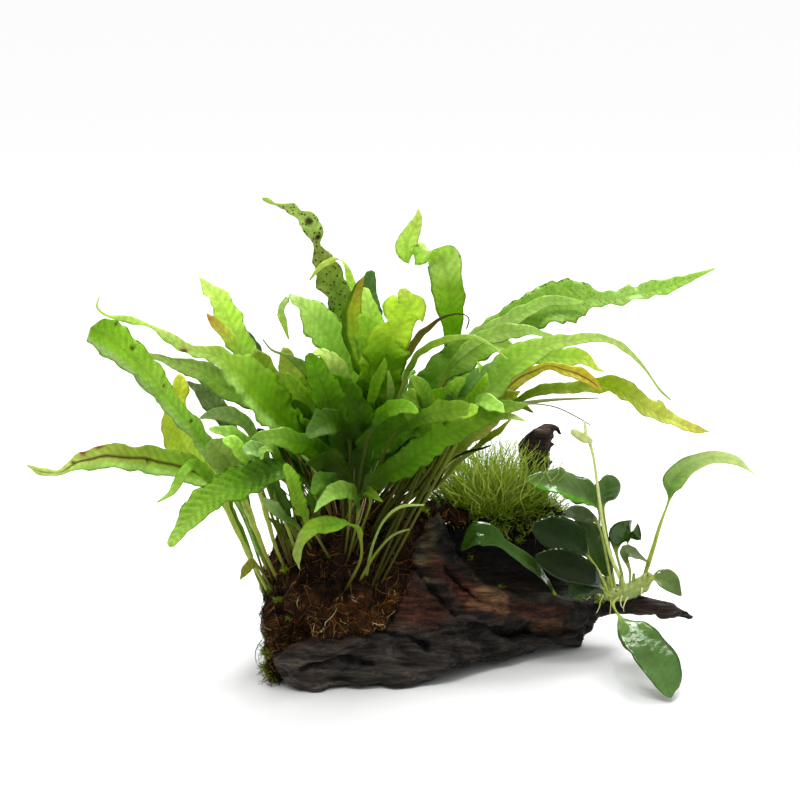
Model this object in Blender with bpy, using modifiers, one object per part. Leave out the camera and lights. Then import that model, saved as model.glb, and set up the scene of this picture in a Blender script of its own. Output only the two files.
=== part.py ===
"""Java fern, a dwarf anubias and a tuft of moss grown on a piece of driftwood.

Units are metres, +Z is up. The origin is on the surface that the wood stands on, under the middle of
the plant. Leaves are placed by where they show in the photograph, and by how far they stand in front
of (-) or behind (+) the middle of the wood, in millimetres.
"""

import math

import bmesh
import bpy
from mathutils import Matrix, Vector

MM = 0.001

# Driving sizes
PLANT_SPAN = 402.0 * MM         # from the leftmost leaf tip to the rightmost one
SPAN_IN_PIXELS = 731.0          # the same span in the photograph
VIEW_DISTANCE = 1000.0 * MM     # from the eye to the middle of the plant
VIEW_ELEVATION = math.radians(14.0)
VIEW_HEIGHT = 151.0 * MM        # the point that the middle of the photograph shows
PHOTO_MIDDLE = 400.0            # pixel, across and down
ORIGIN_ACROSS = 4.3 * MM        # middle of the plant's box, before it is moved to the origin
ORIGIN_DEPTH = 8.5 * MM

PIECE_GAP = 0.4 * MM            # between pieces that touch
MOSS_GAP = 0.8 * MM             # between the moss and the wood that it clings to
STALK_WIDTH = 2.0 * MM
STALK_THICKNESS = 1.9 * MM
TIP_THICKNESS = 0.6 * MM
LEAST_WIDTH = 0.6 * MM
BLADE_FOLD = 0.22               # rise of a blade's edges, as a share of half its width
BLADE_FACE = (0.0, -0.8, 0.6)   # the way a fern blade's upper side looks

WOOD_VOXEL = 4.0 * MM
WOOD_FACES_KEPT = 0.16
WOOD_LUMP = 4.5 * MM            # depth of the wood's lumps and hollows
WOOD_LUMP_SPACING = 26.0 * MM
BRANCH_FACES_KEPT = 0.09
MAT_VOXEL = 5.0 * MM
MAT_FACES_KEPT = 0.20
MAT_LUMP = 5.0 * MM
MAT_LUMP_SPACING = 14.0 * MM
MOSS_VOXEL = 4.0 * MM
MOSS_FACES_KEPT = 0.12

# The root mat is a dome. Leaves stand on it, and their stalks fan out from its middle.
MAT_MIDDLE = Vector((-32.0, 2.0, 45.0)) * MM
MAT_RADII = Vector((45.0, 39.0, 46.0)) * MM
STALK_FAN_ACROSS = 0.33         # a stalk's foot lies this far out, as a share of its blade's distance
STALK_FAN_DEPTH = 0.62
STALK_ROOTED = 7.0 * MM         # how deep a stalk's foot is set in the mat
DEPTH_SPREAD = 0.8              # how much further a tip spreads forward or back than its stalk
FRONT_REACH = 120.0             # mm, a limit that the front leaves' depth nears but never passes
MAT_CLEARANCE = 1.0 * MM        # the roots end just above what the wood stands on
DOME_RIM = 0.05                 # the least share of the dome's squared height that a stalk stands on
LONG_ROUTE = 6                  # a leaf with this many places or more needs none between them

# The anubias's creeping stem: pixel across, pixel down and depth in mm. Leaf stalks fan out from it.
RHIZOME_MIDDLE = (625.0, 594.0, 10.0)
RHIZOME_LENGTH = 37.0           # pixels
RHIZOME_SLOPE = 0.3
RHIZOME_FAN_ACROSS = 0.6
RHIZOME_FAN_DEPTH = 0.3

MOSS_PLACE = (490.0, 487.0, 42.0)
MOSS_RADII = Vector((31.0, 19.0, 26.0)) * MM

VIEW_FORWARD = Vector((0.0, math.cos(VIEW_ELEVATION), -math.sin(VIEW_ELEVATION)))
VIEW_UP = Vector((0.0, math.sin(VIEW_ELEVATION), math.cos(VIEW_ELEVATION)))
VIEW_RIGHT = Vector((1.0, 0.0, 0.0))
EYE = Vector((0.0, 0.0, VIEW_HEIGHT)) - VIEW_FORWARD * VIEW_DISTANCE
ORIGIN_SHIFT = Vector((ORIGIN_ACROSS, ORIGIN_DEPTH, 0.0))


def sight(across, down, depth):
    """The point that shows at a pixel of the photograph and stands at a depth in millimetres."""
    pixel_size = PLANT_SPAN / SPAN_IN_PIXELS
    ray = VIEW_FORWARD * VIEW_DISTANCE
    ray = ray + VIEW_RIGHT * (across - PHOTO_MIDDLE) * pixel_size
    ray = ray + VIEW_UP * (PHOTO_MIDDLE - down) * pixel_size
    return EYE + ray * ((depth * MM - EYE.y) / ray.y)


def clear_scene():
    for old in list(bpy.data.objects):
        bpy.data.objects.remove(old, do_unlink=True)


def new_collection(name):
    collection = bpy.data.collections.new(name)
    bpy.context.scene.collection.children.link(collection)
    return collection


def material(name, colour, roughness):
    made = bpy.data.materials.new(name)
    made.use_nodes = True
    shader = made.node_tree.nodes["Principled BSDF"]
    shader.inputs["Base Color"].default_value = (*colour, 1.0)
    shader.inputs["Roughness"].default_value = roughness
    shader.inputs["Metallic"].default_value = 0.0
    made.diffuse_color = (*colour, 1.0)
    return made


def place(name, mesh_source, collection, finish):
    """Make an object of a bmesh in the final frame."""
    mesh = bpy.data.meshes.new(name)
    bmesh.ops.translate(mesh_source, verts=mesh_source.verts, vec=-ORIGIN_SHIFT)
    mesh_source.to_mesh(mesh)
    mesh_source.free()
    made = bpy.data.objects.new(name, mesh)
    collection.objects.link(made)
    if finish is not None:
        mesh.materials.append(finish)
    return made


def settle_modifiers(piece):
    """Turn a piece's modifiers into its own mesh."""
    bpy.context.view_layer.update()
    seen = piece.evaluated_get(bpy.context.evaluated_depsgraph_get())
    mesh = bpy.data.meshes.new_from_object(seen)
    piece.modifiers.clear()
    piece.data = mesh


def keep_largest_island(piece):
    """Drop the crumbs that a cut leaves beside a piece."""
    source = bmesh.new()
    source.from_mesh(piece.data)
    left = set(source.verts)
    islands = []
    while left:
        start = left.pop()
        island = {start}
        waiting = [start]
        while waiting:
            for edge in waiting.pop().link_edges:
                for vert in edge.verts:
                    if vert not in island:
                        island.add(vert)
                        waiting.append(vert)
        left -= island
        islands.append(island)
    islands.sort(key=len)
    for island in islands[:-1]:
        bmesh.ops.delete(source, geom=list(island), context="VERTS")
    source.to_mesh(piece.data)
    source.free()


def grown_copy(piece, cutters, gap=PIECE_GAP):
    """A cutter that is the piece with a gap added all round."""
    copy = bpy.data.objects.new(piece.name + "_cutter", piece.data.copy())
    cutters.objects.link(copy)
    copy.hide_render = True
    copy.display_type = "WIRE"
    push = copy.modifiers.new("gap", "DISPLACE")
    push.strength = gap
    push.mid_level = 0.0
    settle_modifiers(copy)
    return copy


def cut(piece, *cutter_objects):
    for cutter in cutter_objects:
        boolean = piece.modifiers.new("cut by " + cutter.name, "BOOLEAN")
        boolean.operation = "DIFFERENCE"
        boolean.solver = "EXACT"
        boolean.object = cutter
    settle_modifiers(piece)
    keep_largest_island(piece)


def add_ball(source, middle, radii, steps=2):
    """Add an egg shape to a bmesh."""
    ball = bmesh.ops.create_icosphere(source, subdivisions=steps, radius=1.0)
    bmesh.ops.transform(source, matrix=Matrix.Diagonal((*radii, 1.0)), verts=ball["verts"])
    bmesh.ops.translate(source, verts=ball["verts"], vec=middle)
    return ball["verts"]


def add_limb(source, *knots):
    """Join knots (pixel across, pixel down, depth, radius in mm, flatness) with tapered stretches."""
    for first, second in zip(knots, knots[1:]):
        hulled = bmesh.new()
        for across, down, depth, radius, flatness in (first, second):
            radii = Vector((radius, radius, radius * flatness)) * MM
            add_ball(hulled, sight(across, down, depth), radii)
        bmesh.ops.delete(hulled, geom=hulled.edges[:], context="EDGES_FACES")
        bmesh.ops.convex_hull(hulled, input=hulled.verts)
        inside = [vert for vert in hulled.verts if not vert.link_faces]
        bmesh.ops.delete(hulled, geom=inside, context="VERTS")
        bmesh.ops.recalc_face_normals(hulled, faces=hulled.faces[:])
        mesh = bpy.data.meshes.new("stretch")
        hulled.to_mesh(mesh)
        hulled.free()
        source.from_mesh(mesh)
        bpy.data.meshes.remove(mesh)


def fuse_lumps(piece, voxel, faces_kept, lump, lump_spacing):
    """Melt overlapping forms into one skin, roughen it, and thin its faces."""
    remesh = piece.modifiers.new("one skin", "REMESH")
    remesh.mode = "VOXEL"
    remesh.voxel_size = voxel
    clouds = bpy.data.textures.new(piece.name + " lumps", "CLOUDS")
    clouds.noise_scale = lump_spacing
    clouds.noise_depth = 1
    rough = piece.modifiers.new("lumps", "DISPLACE")
    rough.texture = clouds
    rough.texture_coords = "LOCAL"
    rough.strength = lump
    rough.mid_level = 0.5
    thin = piece.modifiers.new("fewer faces", "DECIMATE")
    thin.ratio = faces_kept
    settle_modifiers(piece)
    keep_largest_island(piece)


def cut_flat_below(piece, height):
    """Slice a piece off level, so that it stands on real flats."""
    source = bmesh.new()
    source.from_mesh(piece.data)
    bounds = source.verts[:] + source.edges[:] + source.faces[:]
    sliced = bmesh.ops.bisect_plane(
        source, geom=bounds, dist=1e-7, plane_co=(0.0, 0.0, height), plane_no=(0.0, 0.0, 1.0),
        clear_inner=True)
    rim = [item for item in sliced["geom_cut"] if isinstance(item, bmesh.types.BMEdge)]
    bmesh.ops.holes_fill(source, edges=rim, sides=0)
    bmesh.ops.triangulate(source, faces=source.faces[:])
    bmesh.ops.recalc_face_normals(source, faces=source.faces[:])
    source.to_mesh(piece.data)
    source.free()


def smooth_route(points, steps):
    """Points along a Catmull-Rom curve. Each point is a tuple of numbers, such as place and width."""
    padded = [points[0]] + list(points) + [points[-1]]
    made = []
    for index in range(len(points) - 1):
        before, start, end, after = padded[index:index + 4]
        for step in range(steps):
            t = step / steps
            made.append([
                0.5 * (2.0 * b + (c - a) * t + (2.0 * a - 5.0 * b + 4.0 * c - d) * t * t
                       + (3.0 * b - a - 3.0 * c + d) * t * t * t)
                for a, b, c, d in zip(before, start, end, after)])
    made.append(list(points[-1]))
    return made


def stalk_foot(first):
    """Where on the dome of the root mat a stalk stands, so that stalks fan out and never cross."""
    across = MAT_MIDDLE.x + STALK_FAN_ACROSS * (first.x - MAT_MIDDLE.x)
    depth = STALK_FAN_DEPTH * first.y
    slope = ((across - MAT_MIDDLE.x) / MAT_RADII.x) ** 2 + ((depth - MAT_MIDDLE.y) / MAT_RADII.y) ** 2
    height = MAT_MIDDLE.z + MAT_RADII.z * math.sqrt(max(DOME_RIM, 1.0 - slope)) - STALK_ROOTED
    return Vector((across, depth, height))


def spread_out(depth, share, spread):
    """A blade's depth, a share of the way along its route."""
    reached = depth * (1.0 + spread * share)
    if reached < 0.0:
        reached = FRONT_REACH * math.tanh(reached / FRONT_REACH)
    return reached


def add_leaf(source, route, foot=None, face=BLADE_FACE, steps=None, fold=BLADE_FOLD,
             spread=DEPTH_SPREAD):
    """Loft one stalk and blade. Route rows: pixel across, pixel down, depth, width in mm, roll."""
    rows = []
    for index, (across, down, depth, width, *roll) in enumerate(route):
        point = sight(across, down, spread_out(depth, index / (len(route) - 1), spread))
        rows.append((*point, width * MM, roll[0] if roll else 0.0))
    if foot is None:
        start = stalk_foot(Vector(rows[0][:3]))
    else:
        start = sight(*foot)
    rows.insert(0, (*start, STALK_WIDTH, rows[0][4]))
    if steps is None:
        steps = 1 if len(route) >= LONG_ROUTE else 2
    rows = smooth_route(rows, steps)
    places = [Vector(row[:3]) for row in rows]
    chord = places[-1] - places[0]
    across_blade = chord.cross(Vector(face)).normalized()
    rings = []
    last = len(rows) - 1
    for index, row in enumerate(rows):
        tangent = (places[min(last, index + 1)] - places[max(0, index - 1)]).normalized()
        side = (across_blade - tangent * across_blade.dot(tangent)).normalized()
        side = Matrix.Rotation(math.radians(row[4]), 3, tangent) @ side
        normal = side.cross(tangent)
        along = index / last
        half_width = max(LEAST_WIDTH, row[3]) / 2.0
        half_thick = (STALK_THICKNESS + (TIP_THICKNESS - STALK_THICKNESS) * along) / 2.0
        rise = normal * (fold * max(0.0, half_width - STALK_WIDTH))
        corners = (side * -half_width + rise, normal * -half_thick,
                   side * half_width + rise, normal * half_thick)
        rings.append([source.verts.new(places[index] + corner) for corner in corners])
    for low, high in zip(rings, rings[1:]):
        for a in range(4):
            b = (a + 1) % 4
            source.faces.new((low[a], low[b], high[b], high[a]))
    source.faces.new(rings[0][::-1])
    source.faces.new(rings[-1])


def leaf_object(name, collection, finish, **shape):
    source = bmesh.new()
    add_leaf(source, **shape)
    bmesh.ops.triangulate(source, faces=source.faces[:])
    bmesh.ops.recalc_face_normals(source, faces=source.faces[:])
    return place(name, source, collection, finish)


# Driftwood: knots are pixel across, pixel down, depth, radius in mm, flatness
def add_trunk(source):
    front_ledge = ((287, 661, -46, 9, 0.9), (340, 648, -42, 10, 0.8), (400, 634, -31, 9, 0.8),
                   (460, 620, -18, 9, 0.7), (520, 611, -5, 8, 0.7), (604, 607, 9, 6, 0.8))
    lower_lobe = ((298, 673, -44, 9, 0.9), (350, 668, -36, 12, 0.9), (425, 662, -28, 15, 0.8),
                  (472, 651, -14, 13, 0.8), (520, 638, 2, 12, 0.8), (574, 626, 14, 10, 0.9))
    front_feet = ((316, 686, -47, 6, 1.0), (308, 672, -44, 8, 1.0))
    middle_feet = ((398, 678, -38, 10, 0.8), (458, 669, -24, 11, 0.8))
    right_feet = ((574, 638, 19, 7, 0.9), (560, 625, 17, 9, 1.0))
    floor_mass = ((330, 635, 16, 22, 0.9), (420, 628, 22, 24, 0.9), (500, 622, 26, 18, 0.9),
                  (565, 614, 28, 11, 0.9))
    back_feet = ((352, 628, 42, 14, 0.9), (440, 622, 50, 14, 0.9), (520, 618, 48, 11, 0.9))
    mound = ((335, 600, -2, 20, 1.0), (388, 592, 0, 20, 1.0), (430, 592, 2, 18, 1.0))
    peak = ((437, 517, 6, 3, 1.0), (435, 535, 4, 7, 1.4), (437, 560, 0, 12, 1.2), (436, 605, -12, 12, 1.0))
    peak_flank = ((428, 532, 2, 4, 1.0), (416, 565, -8, 8, 1.0), (405, 605, -20, 10, 1.0))
    pink_ridge = ((444, 548, 0, 6, 1.0), (464, 583, -6, 8, 1.0), (495, 602, -9, 7, 0.8),
                  (545, 603, -1, 6, 0.8))
    back_wall = ((444, 545, 26, 11, 1.2), (478, 548, 36, 13, 1.3), (530, 552, 41, 13, 1.3),
                 (575, 578, 36, 10, 1.2), (618, 598, 24, 7, 1.0))
    hollow_back = ((450, 585, 26, 16, 1.1), (520, 588, 32, 14, 1.1), (585, 600, 26, 9, 1.0))
    moss_seat = ((470, 528, 40, 9, 0.8), (535, 520, 44, 10, 0.8))
    hollow_floor = ((460, 604, 10, 12, 0.8), (540, 606, 16, 11, 0.8), (612, 605, 14, 7, 0.9))
    for limb in (front_ledge, lower_lobe, front_feet, middle_feet, right_feet, floor_mass, back_feet,
                 mound, peak, peak_flank, pink_ridge, back_wall, hollow_back, moss_seat, hollow_floor):
        add_limb(source, *limb)


def add_stub(source):
    add_limb(source, (530, 520, 46, 9, 1.0), (534, 480, 47, 9, 1.0), (537, 455, 47, 8, 1.0),
             (541, 436, 47, 6, 1.0), (546, 429, 47, 3, 1.0))
    add_limb(source, (525, 444, 47, 3.5, 1.0), (545, 431, 47, 3, 1.0))


def add_spur(source):
    add_limb(source, (604, 605, 12, 6.5, 0.8), (640, 603, 12, 6.5, 0.8), (668, 610, 12, 4.5, 0.8),
             (689, 617, 12, 3, 0.9))


def add_root_mat(source):
    add_ball(source, MAT_MIDDLE, MAT_RADII, 3)
    add_limb(source, (283, 600, -16, 14, 1.0), (284, 640, -30, 14, 1.0), (276, 664, -34, 10, 0.9),
             (271, 676, -36, 5, 1.0))
    add_limb(source, (310, 600, -26, 14, 1.0), (330, 630, -38, 11, 0.8), (375, 622, -34, 9, 0.8))
    add_limb(source, (395, 535, 2, 14, 0.9), (424, 514, 12, 8, 0.9))


def add_moss(source):
    add_ball(source, sight(*MOSS_PLACE), MOSS_RADII, 3)
    add_limb(source, (448, 500, 34, 12, 0.9), (470, 480, 40, 16, 1.0))
    add_limb(source, (520, 500, 38, 14, 0.9), (556, 508, 30, 8, 0.8))


def add_rhizome(source):
    add_limb(source, (604, 597, 10, 4, 1.0), (625, 593, 10, 5, 1.0), (640, 586, 10, 5, 1.0),
             (648, 578, 10, 3.5, 1.0))


FLOWER_STALK = dict(foot=(630, 598, 8), fold=0.0, steps=1, spread=0.0, route=(
    (627, 590, 8, 3.0), (613, 562, 7, 2.6), (604, 530, 6, 2.4), (598, 490, 5, 2.2),
    (594, 460, 4, 2.0), (589, 440, 4, 2.4)))
FLOWER_BUD = ((588, 440, 4, 2.6, 1.0), (576, 435, 4, 2.3, 1.0))
FLOWER_SPIKE = ((586, 436, 4, 1.7, 1.0), (585, 422, 4, 1.3, 1.0))

FERN_LEAVES = {
    "left_low": dict(foot=(272, 612, -8), route=(
        (252, 560, -16, 2.2), (236, 520, -22, 2.4), (219, 488, -27, 6), (190, 470, -31, 14),
        (150, 460, -34, 16), (110, 457, -37, 14), (82, 461, -39, 9), (60, 475, -41, 4),
        (42, 470, -42, 4), (26, 465, -43, 1))),
    "left_long": dict(foot=(276, 590, 0), route=(
        (258, 545, -5, 2.2), (242, 505, -9, 2.6), (225, 472, -12, 8), (205, 443, -14, 14),
        (170, 405, -16, 16), (135, 365, -18, 18), (110, 342, -19, 18), (92, 329, -20, 12))),
    "left_broad": dict(route=(
        (318, 470, -18, 5), (296, 435, -20, 18), (270, 405, -20, 25), (243, 376, -18, 22),
        (215, 357, -16, 12), (190, 350, -15, 10), (165, 335, -14, 8), (150, 326, -13, 2.5),
        (128, 319, -12, 4.5), (108, 316, -11, 1.8), (97, 307, -10, 1.4), (100, 296, -9, 1))),
    "left_dark": dict(route=(
        (300, 430, -2, 4), (262, 405, -1, 10), (228, 388, 0, 13), (200, 372, 2, 11), (170, 361, 4, 6),
        (135, 351, 6, 1))),
    "left_yellow": dict(foot=(274, 604, 8), route=(
        (235, 510, 16, 2), (205, 465, 16, 8), (186, 440, 16, 12), (178, 410, 16, 11),
        (179, 388, 16, 8), (180, 373, 16, 2))),
    "left_crinkled": dict(foot=(284, 575, 14), route=(
        (255, 480, 22, 3), (232, 430, 26, 8), (212, 402, 27, 12), (187, 381, 28, 2))),
    "upright_bright": dict(route=(
        (292, 440, 13, 3), (268, 400, 13, 10), (250, 365, 14, 15), (236, 335, 15, 15),
        (222, 305, 16, 12), (208, 288, 17, 7), (199, 277, 17, 1))),
    "yellowing_low": dict(route=(
        (298, 420, -8, 3), (278, 385, -9, 9), (262, 362, -9, 11), (254, 350, -9, 4))),
    "yellowing_tall": dict(route=(
        (322, 430, 0, 3), (304, 400, 0, 11), (292, 375, 0, 12), (286, 355, 0, 8), (283, 347, 0, 2))),
    "pale_folded": dict(route=(
        (362, 430, 11, 3), (350, 385, 12, 14), (335, 350, 12, 19), (318, 322, 12, 18),
        (300, 304, 12, 12, 30), (287, 298, 11, 8, 70), (281, 312, 9, 6, 50), (289, 340, 8, 1, 0))),
    "spotted_tall": dict(route=(
        (372, 400, 26, 2.5), (358, 350, 28, 5), (346, 312, 30, 13), (334, 285, 31, 15),
        (323, 258, 32, 12), (314, 240, 32, 5), (308, 226, 32, 13), (297, 214, 32, 9),
        (288, 208, 32, 6), (276, 204, 32, 4), (262, 198, 32, 3))),
    "thin_hook": dict(route=(
        (372, 380, 20, 2), (360, 315, 20, 3), (352, 280, 21, 5), (345, 264, 21, 4, 50),
        (332, 261, 20, 4, 70), (318, 270, 19, 3, 40), (309, 281, 18, 1))),
    "folded_olive": dict(route=(
        (368, 400, 4, 4), (357, 350, 4, 11), (352, 315, 5, 10), (358, 290, 5, 6), (364, 276, 5, 1))),
    "pale_behind": dict(route=(
        (384, 390, 12, 4), (378, 345, 14, 11), (370, 310, 14, 10), (364, 287, 14, 3))),
    "jagged_yellow": dict(route=(
        (392, 440, -14, 3), (396, 400, -14, 14), (400, 360, -14, 18), (404, 325, -14, 20),
        (408, 302, -14, 19), (412, 291, -14, 14))),
    "tall_folded": dict(route=(
        (430, 440, 12, 2.5), (446, 380, 15, 3), (452, 335, 20, 9), (450, 300, 23, 17),
        (446, 270, 23, 19), (438, 254, 23, 17, 20), (422, 249, 21, 14, 20), (415, 236, 19, 9, 10),
        (419, 208, 18, 1.5))),
    "right_stippled": dict(route=(
        (440, 400, 24, 2.5), (470, 345, 26, 8), (510, 322, 27, 16), (550, 308, 29, 26),
        (578, 300, 30, 22), (600, 299, 31, 10), (622, 297, 32, 10), (645, 293, 33, 11),
        (680, 282, 34, 7), (716, 268, 35, 1))),
    "right_pale": dict(route=(
        (430, 405, 17, 2.5), (460, 350, 18, 6), (500, 325, 18, 10), (545, 303, 18, 8),
        (585, 302, 18, 2))),
    "right_grey": dict(route=(
        (425, 415, -4, 2.5), (462, 352, -8, 5), (500, 333, -9, 9), (530, 331, -10, 6),
        (557, 337, -11, 1))),
    "thin_arch": dict(route=(
        (398, 400, -22, 2.5), (415, 358, -23, 4), (440, 342, -24, 4), (470, 337, -25, 3),
        (490, 345, -26, 2), (508, 360, -27, 1))),
    "long_arch": dict(route=(
        (420, 450, -26, 2.5), (455, 420, -28, 6), (490, 390, -31, 14), (520, 362, -33, 18),
        (548, 345, -34, 13), (575, 340, -35, 8), (605, 338, -36, 6), (625, 348, -36, 4),
        (645, 370, -37, 3), (660, 390, -37, 2.5), (672, 401, -37, 1))),
    "right_green_yellow": dict(route=(
        (450, 420, -2, 2.5), (490, 380, -6, 4), (530, 357, -8, 9), (560, 357, -9, 11),
        (585, 360, -10, 9), (605, 373, -10, 1))),
    "right_orange": dict(route=(
        (460, 430, -14, 2.5), (495, 400, -18, 6), (520, 378, -20, 9), (545, 367, -21, 4),
        (565, 370, -21, 7), (585, 378, -21, 9), (603, 391, -21, 1))),
    "right_yellow_tip": dict(route=(
        (430, 470, 4, 2.2), (470, 430, 4, 2.5), (510, 405, 4, 3.5), (545, 390, 4, 6),
        (580, 388, 4, 8), (612, 388, 4, 12), (640, 402, 5, 14), (665, 417, 5, 11),
        (690, 427, 5, 7), (710, 432, 5, 1))),
    "middle_dark": dict(route=(
        (400, 420, 2, 3), (425, 388, 2, 14), (455, 362, 3, 20), (485, 346, 3, 16), (510, 348, 4, 8),
        (522, 352, 4, 2))),
    "diagonal_glossy": dict(foot=(345, 522, -30), route=(
        (355, 502, -36, 2.5), (378, 480, -42, 11), (405, 465, -46, 14), (440, 440, -49, 16),
        (475, 420, -50, 13), (505, 408, -50, 8), (530, 404, -50, 1))),
    "broad_dark": dict(spread=0.3, route=(
        (350, 500, -22, 3), (360, 465, -26, 14), (382, 440, -28, 20), (412, 425, -30, 19),
        (440, 418, -30, 11), (465, 415, -30, 2))),
    "wavy_bright": dict(route=(
        (385, 450, -44, 2.5), (410, 425, -48, 5), (432, 414, -52, 9), (456, 410, -54, 10),
        (478, 408, -54, 3))),
    "ribbed_middle": dict(route=(
        (342, 455, -22, 3), (335, 425, -24, 14), (326, 395, -24, 17), (316, 370, -24, 12),
        (309, 353, -24, 3))),
    "middle_bright": dict(route=(
        (378, 425, -4, 3), (372, 390, -4, 14), (374, 360, -4, 18), (368, 330, -4, 12),
        (360, 314, -4, 3))),
    "middle_left": dict(spread=0.2, route=(
        (345, 450, -12, 3), (322, 425, -12, 14), (305, 402, -12, 16), (294, 386, -12, 10),
        (286, 372, -12, 2))),
    "middle_low": dict(route=(
        (372, 470, -17, 3), (362, 430, -17, 16), (350, 400, -17, 18), (336, 382, -17, 10),
        (324, 374, -17, 2))),
    "right_middle": dict(route=(
        (430, 450, -20, 3), (448, 420, -20, 12), (470, 400, -20, 14), (488, 390, -20, 8),
        (498, 384, -20, 2))),
    "front_middle": dict(route=(
        (352, 490, -34, 3), (335, 465, -37, 12), (318, 457, -39, 12), (305, 464, -41, 3))),
    "front_level": dict(route=(
        (342, 485, -34, 3), (320, 452, -42, 10), (290, 440, -48, 12), (262, 438, -52, 9),
        (249, 450, -54, 6), (255, 461, -55, 2))),
    "front_ribbed": dict(foot=(318, 525, -26), route=(
        (318, 502, -40, 2.5), (303, 482, -50, 5), (280, 470, -59, 16), (245, 482, -66, 18),
        (212, 497, -71, 17), (188, 520, -75, 12), (176, 538, -77, 7), (169, 547, -78, 3))),
    "front_oval": dict(foot=(274, 585, -16), route=(
        (252, 520, -40, 2.2), (240, 485, -46, 8), (228, 462, -48, 17), (214, 447, -50, 13),
        (209, 440, -50, 5))),
    "front_arch": dict(foot=(345, 590, -34), route=(
        (352, 578, -48, 2), (361, 558, -53, 2), (360, 536, -57, 3, 60), (352, 525, -60, 8, 60),
        (330, 525, -62, 9), (312, 529, -63, 8), (300, 545, -64, 6), (297, 558, -64, 5),
        (300, 570, -64, 1))),
    "back_upright": dict(spread=0.0, route=(
        (345, 440, 38, 2.5), (338, 402, 54, 12), (333, 378, 72, 18), (331, 370, 92, 14),
        (330, 374, 110, 2))),
    "back_middle": dict(spread=0.0, route=(
        (385, 440, 42, 2.5), (392, 398, 58, 14), (397, 374, 78, 20), (402, 370, 98, 15),
        (406, 376, 116, 2))),
    "back_right": dict(spread=0.0, route=(
        (412, 455, 38, 2.5), (438, 415, 54, 12), (458, 390, 72, 18), (474, 382, 90, 14),
        (488, 388, 106, 2))),
    "back_left": dict(spread=0.0, route=(
        (325, 450, 36, 2.5), (303, 428, 50, 10), (288, 416, 66, 14), (274, 412, 82, 12),
        (262, 419, 96, 2))),
    "back_low": dict(spread=0.0, route=(
        (400, 482, 48, 2.5), (424, 468, 64, 9), (446, 464, 80, 13), (466, 468, 94, 10),
        (484, 478, 106, 2))),
}

# Young leaves, too small to be pieces of their own. They are fused to the root mat.
YOUNG_FERN_LEAVES = {
    "curled dark": dict(route=(
        (275, 400, 26, 3), (262, 368, 26, 8), (250, 345, 26, 9), (243, 330, 26, 4))),
    "dark round": dict(route=(
        (385, 380, 38, 3), (377, 330, 38, 8), (370, 295, 38, 9), (371, 270, 38, 5))),
    "right thin": dict(route=(
        (460, 420, 14, 2), (510, 406, 16, 3), (550, 400, 17, 2.5), (600, 398, 18, 1))),
    "front curled": dict(route=(
        (312, 528, -48, 2.5), (301, 508, -60, 7), (293, 488, -68, 10), (289, 472, -70, 6),
        (284, 464, -70, 2))),
    "pale curl": dict(route=(
        (350, 420, -10, 3), (340, 385, -12, 11), (326, 364, -13, 13), (310, 354, -14, 4))),
    "grey curl": dict(route=(
        (275, 470, 14, 2.5), (247, 425, 18, 7), (224, 414, 18, 9), (199, 418, 18, 2))),
    "side tip": dict(route=(
        (262, 410, 4, 2), (246, 365, 4, 4), (228, 337, 4, 7), (214, 322, 4, 5), (206, 313, 4, 1))),
    "thread leaf": dict(route=(
        (355, 408, -6, 3), (330, 384, -6, 8), (308, 370, -5, 7), (290, 357, -5, 3),
        (272, 350, -5, 1.5), (262, 338, -5, 1))),
    "dried tendril": dict(route=(
        (398, 380, 14, 2.5), (412, 350, 14, 6), (425, 333, 14, 5), (440, 318, 13, 4),
        (462, 316, 12, 2), (469, 328, 12, 1))),
    "wavy edge": dict(route=(
        (365, 450, -38, 2.5), (376, 424, -42, 4), (388, 410, -44, 9), (404, 407, -45, 8),
        (419, 413, -45, 2))),
    "side light": dict(route=(
        (412, 440, -19, 2.5), (420, 415, -20, 8), (418, 395, -21, 11), (411, 375, -21, 2))),
    "bright tip": dict(route=(
        (440, 430, -43, 2.5), (450, 402, -44, 8), (457, 388, -44, 8), (465, 379, -44, 2))),
    "bright point": dict(route=(
        (460, 425, -46, 2.5), (474, 395, -47, 9), (484, 377, -47, 6), (477, 361, -47, 1))),
    "light tip": dict(route=(
        (462, 435, -50, 2.5), (482, 425, -51, 3), (503, 416, -52, 5), (526, 421, -52, 1))),
    "grey tip": dict(route=(
        (350, 448, -30, 2.5), (338, 424, -36, 8), (322, 424, -40, 13), (307, 438, -42, 2))),
    "bright bit": dict(foot=(288, 560, -26), route=(
        (266, 500, -54, 2), (254, 472, -58, 5), (241, 452, -60, 8), (228, 436, -60, 3))),
    "dark bit": dict(route=(
        (350, 500, -46, 2.5), (336, 484, -52, 8), (321, 480, -55, 9), (312, 494, -58, 3))),
    "edge bit": dict(route=(
        (358, 515, -48, 2.5), (352, 493, -56, 8), (336, 492, -60, 10), (323, 501, -62, 5),
        (314, 513, -63, 1))),
    "pointed bit": dict(route=(
        (370, 505, -42, 2), (366, 490, -47, 6), (372, 495, -51, 5), (383, 502, -53, 1))),
    "runner high": dict(foot=(366, 578, -30), route=(
        (372, 548, -50, 1.8), (383, 522, -56, 1.8), (400, 507, -59, 2), (425, 505, -62, 1)), fold=0.0),
    "runner low": dict(foot=(358, 584, -30), route=(
        (374, 556, -50, 1.8), (392, 536, -56, 1.8), (410, 529, -58, 1)), fold=0.0),
    "olive bit": dict(foot=(278, 600, -18), route=(
        (262, 572, -28, 2), (254, 563, -31, 5), (245, 570, -33, 5), (240, 580, -34, 1))),
    "back bud left": dict(spread=0.0, route=(
        (355, 485, 40, 2.5), (350, 462, 58, 10), (347, 452, 76, 13), (345, 456, 92, 9),
        (344, 466, 104, 2))),
    "back bud right": dict(spread=0.0, route=(
        (381, 490, 44, 2.5), (388, 468, 62, 10), (394, 458, 80, 13), (398, 462, 95, 9),
        (402, 474, 108, 2))),
}

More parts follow.
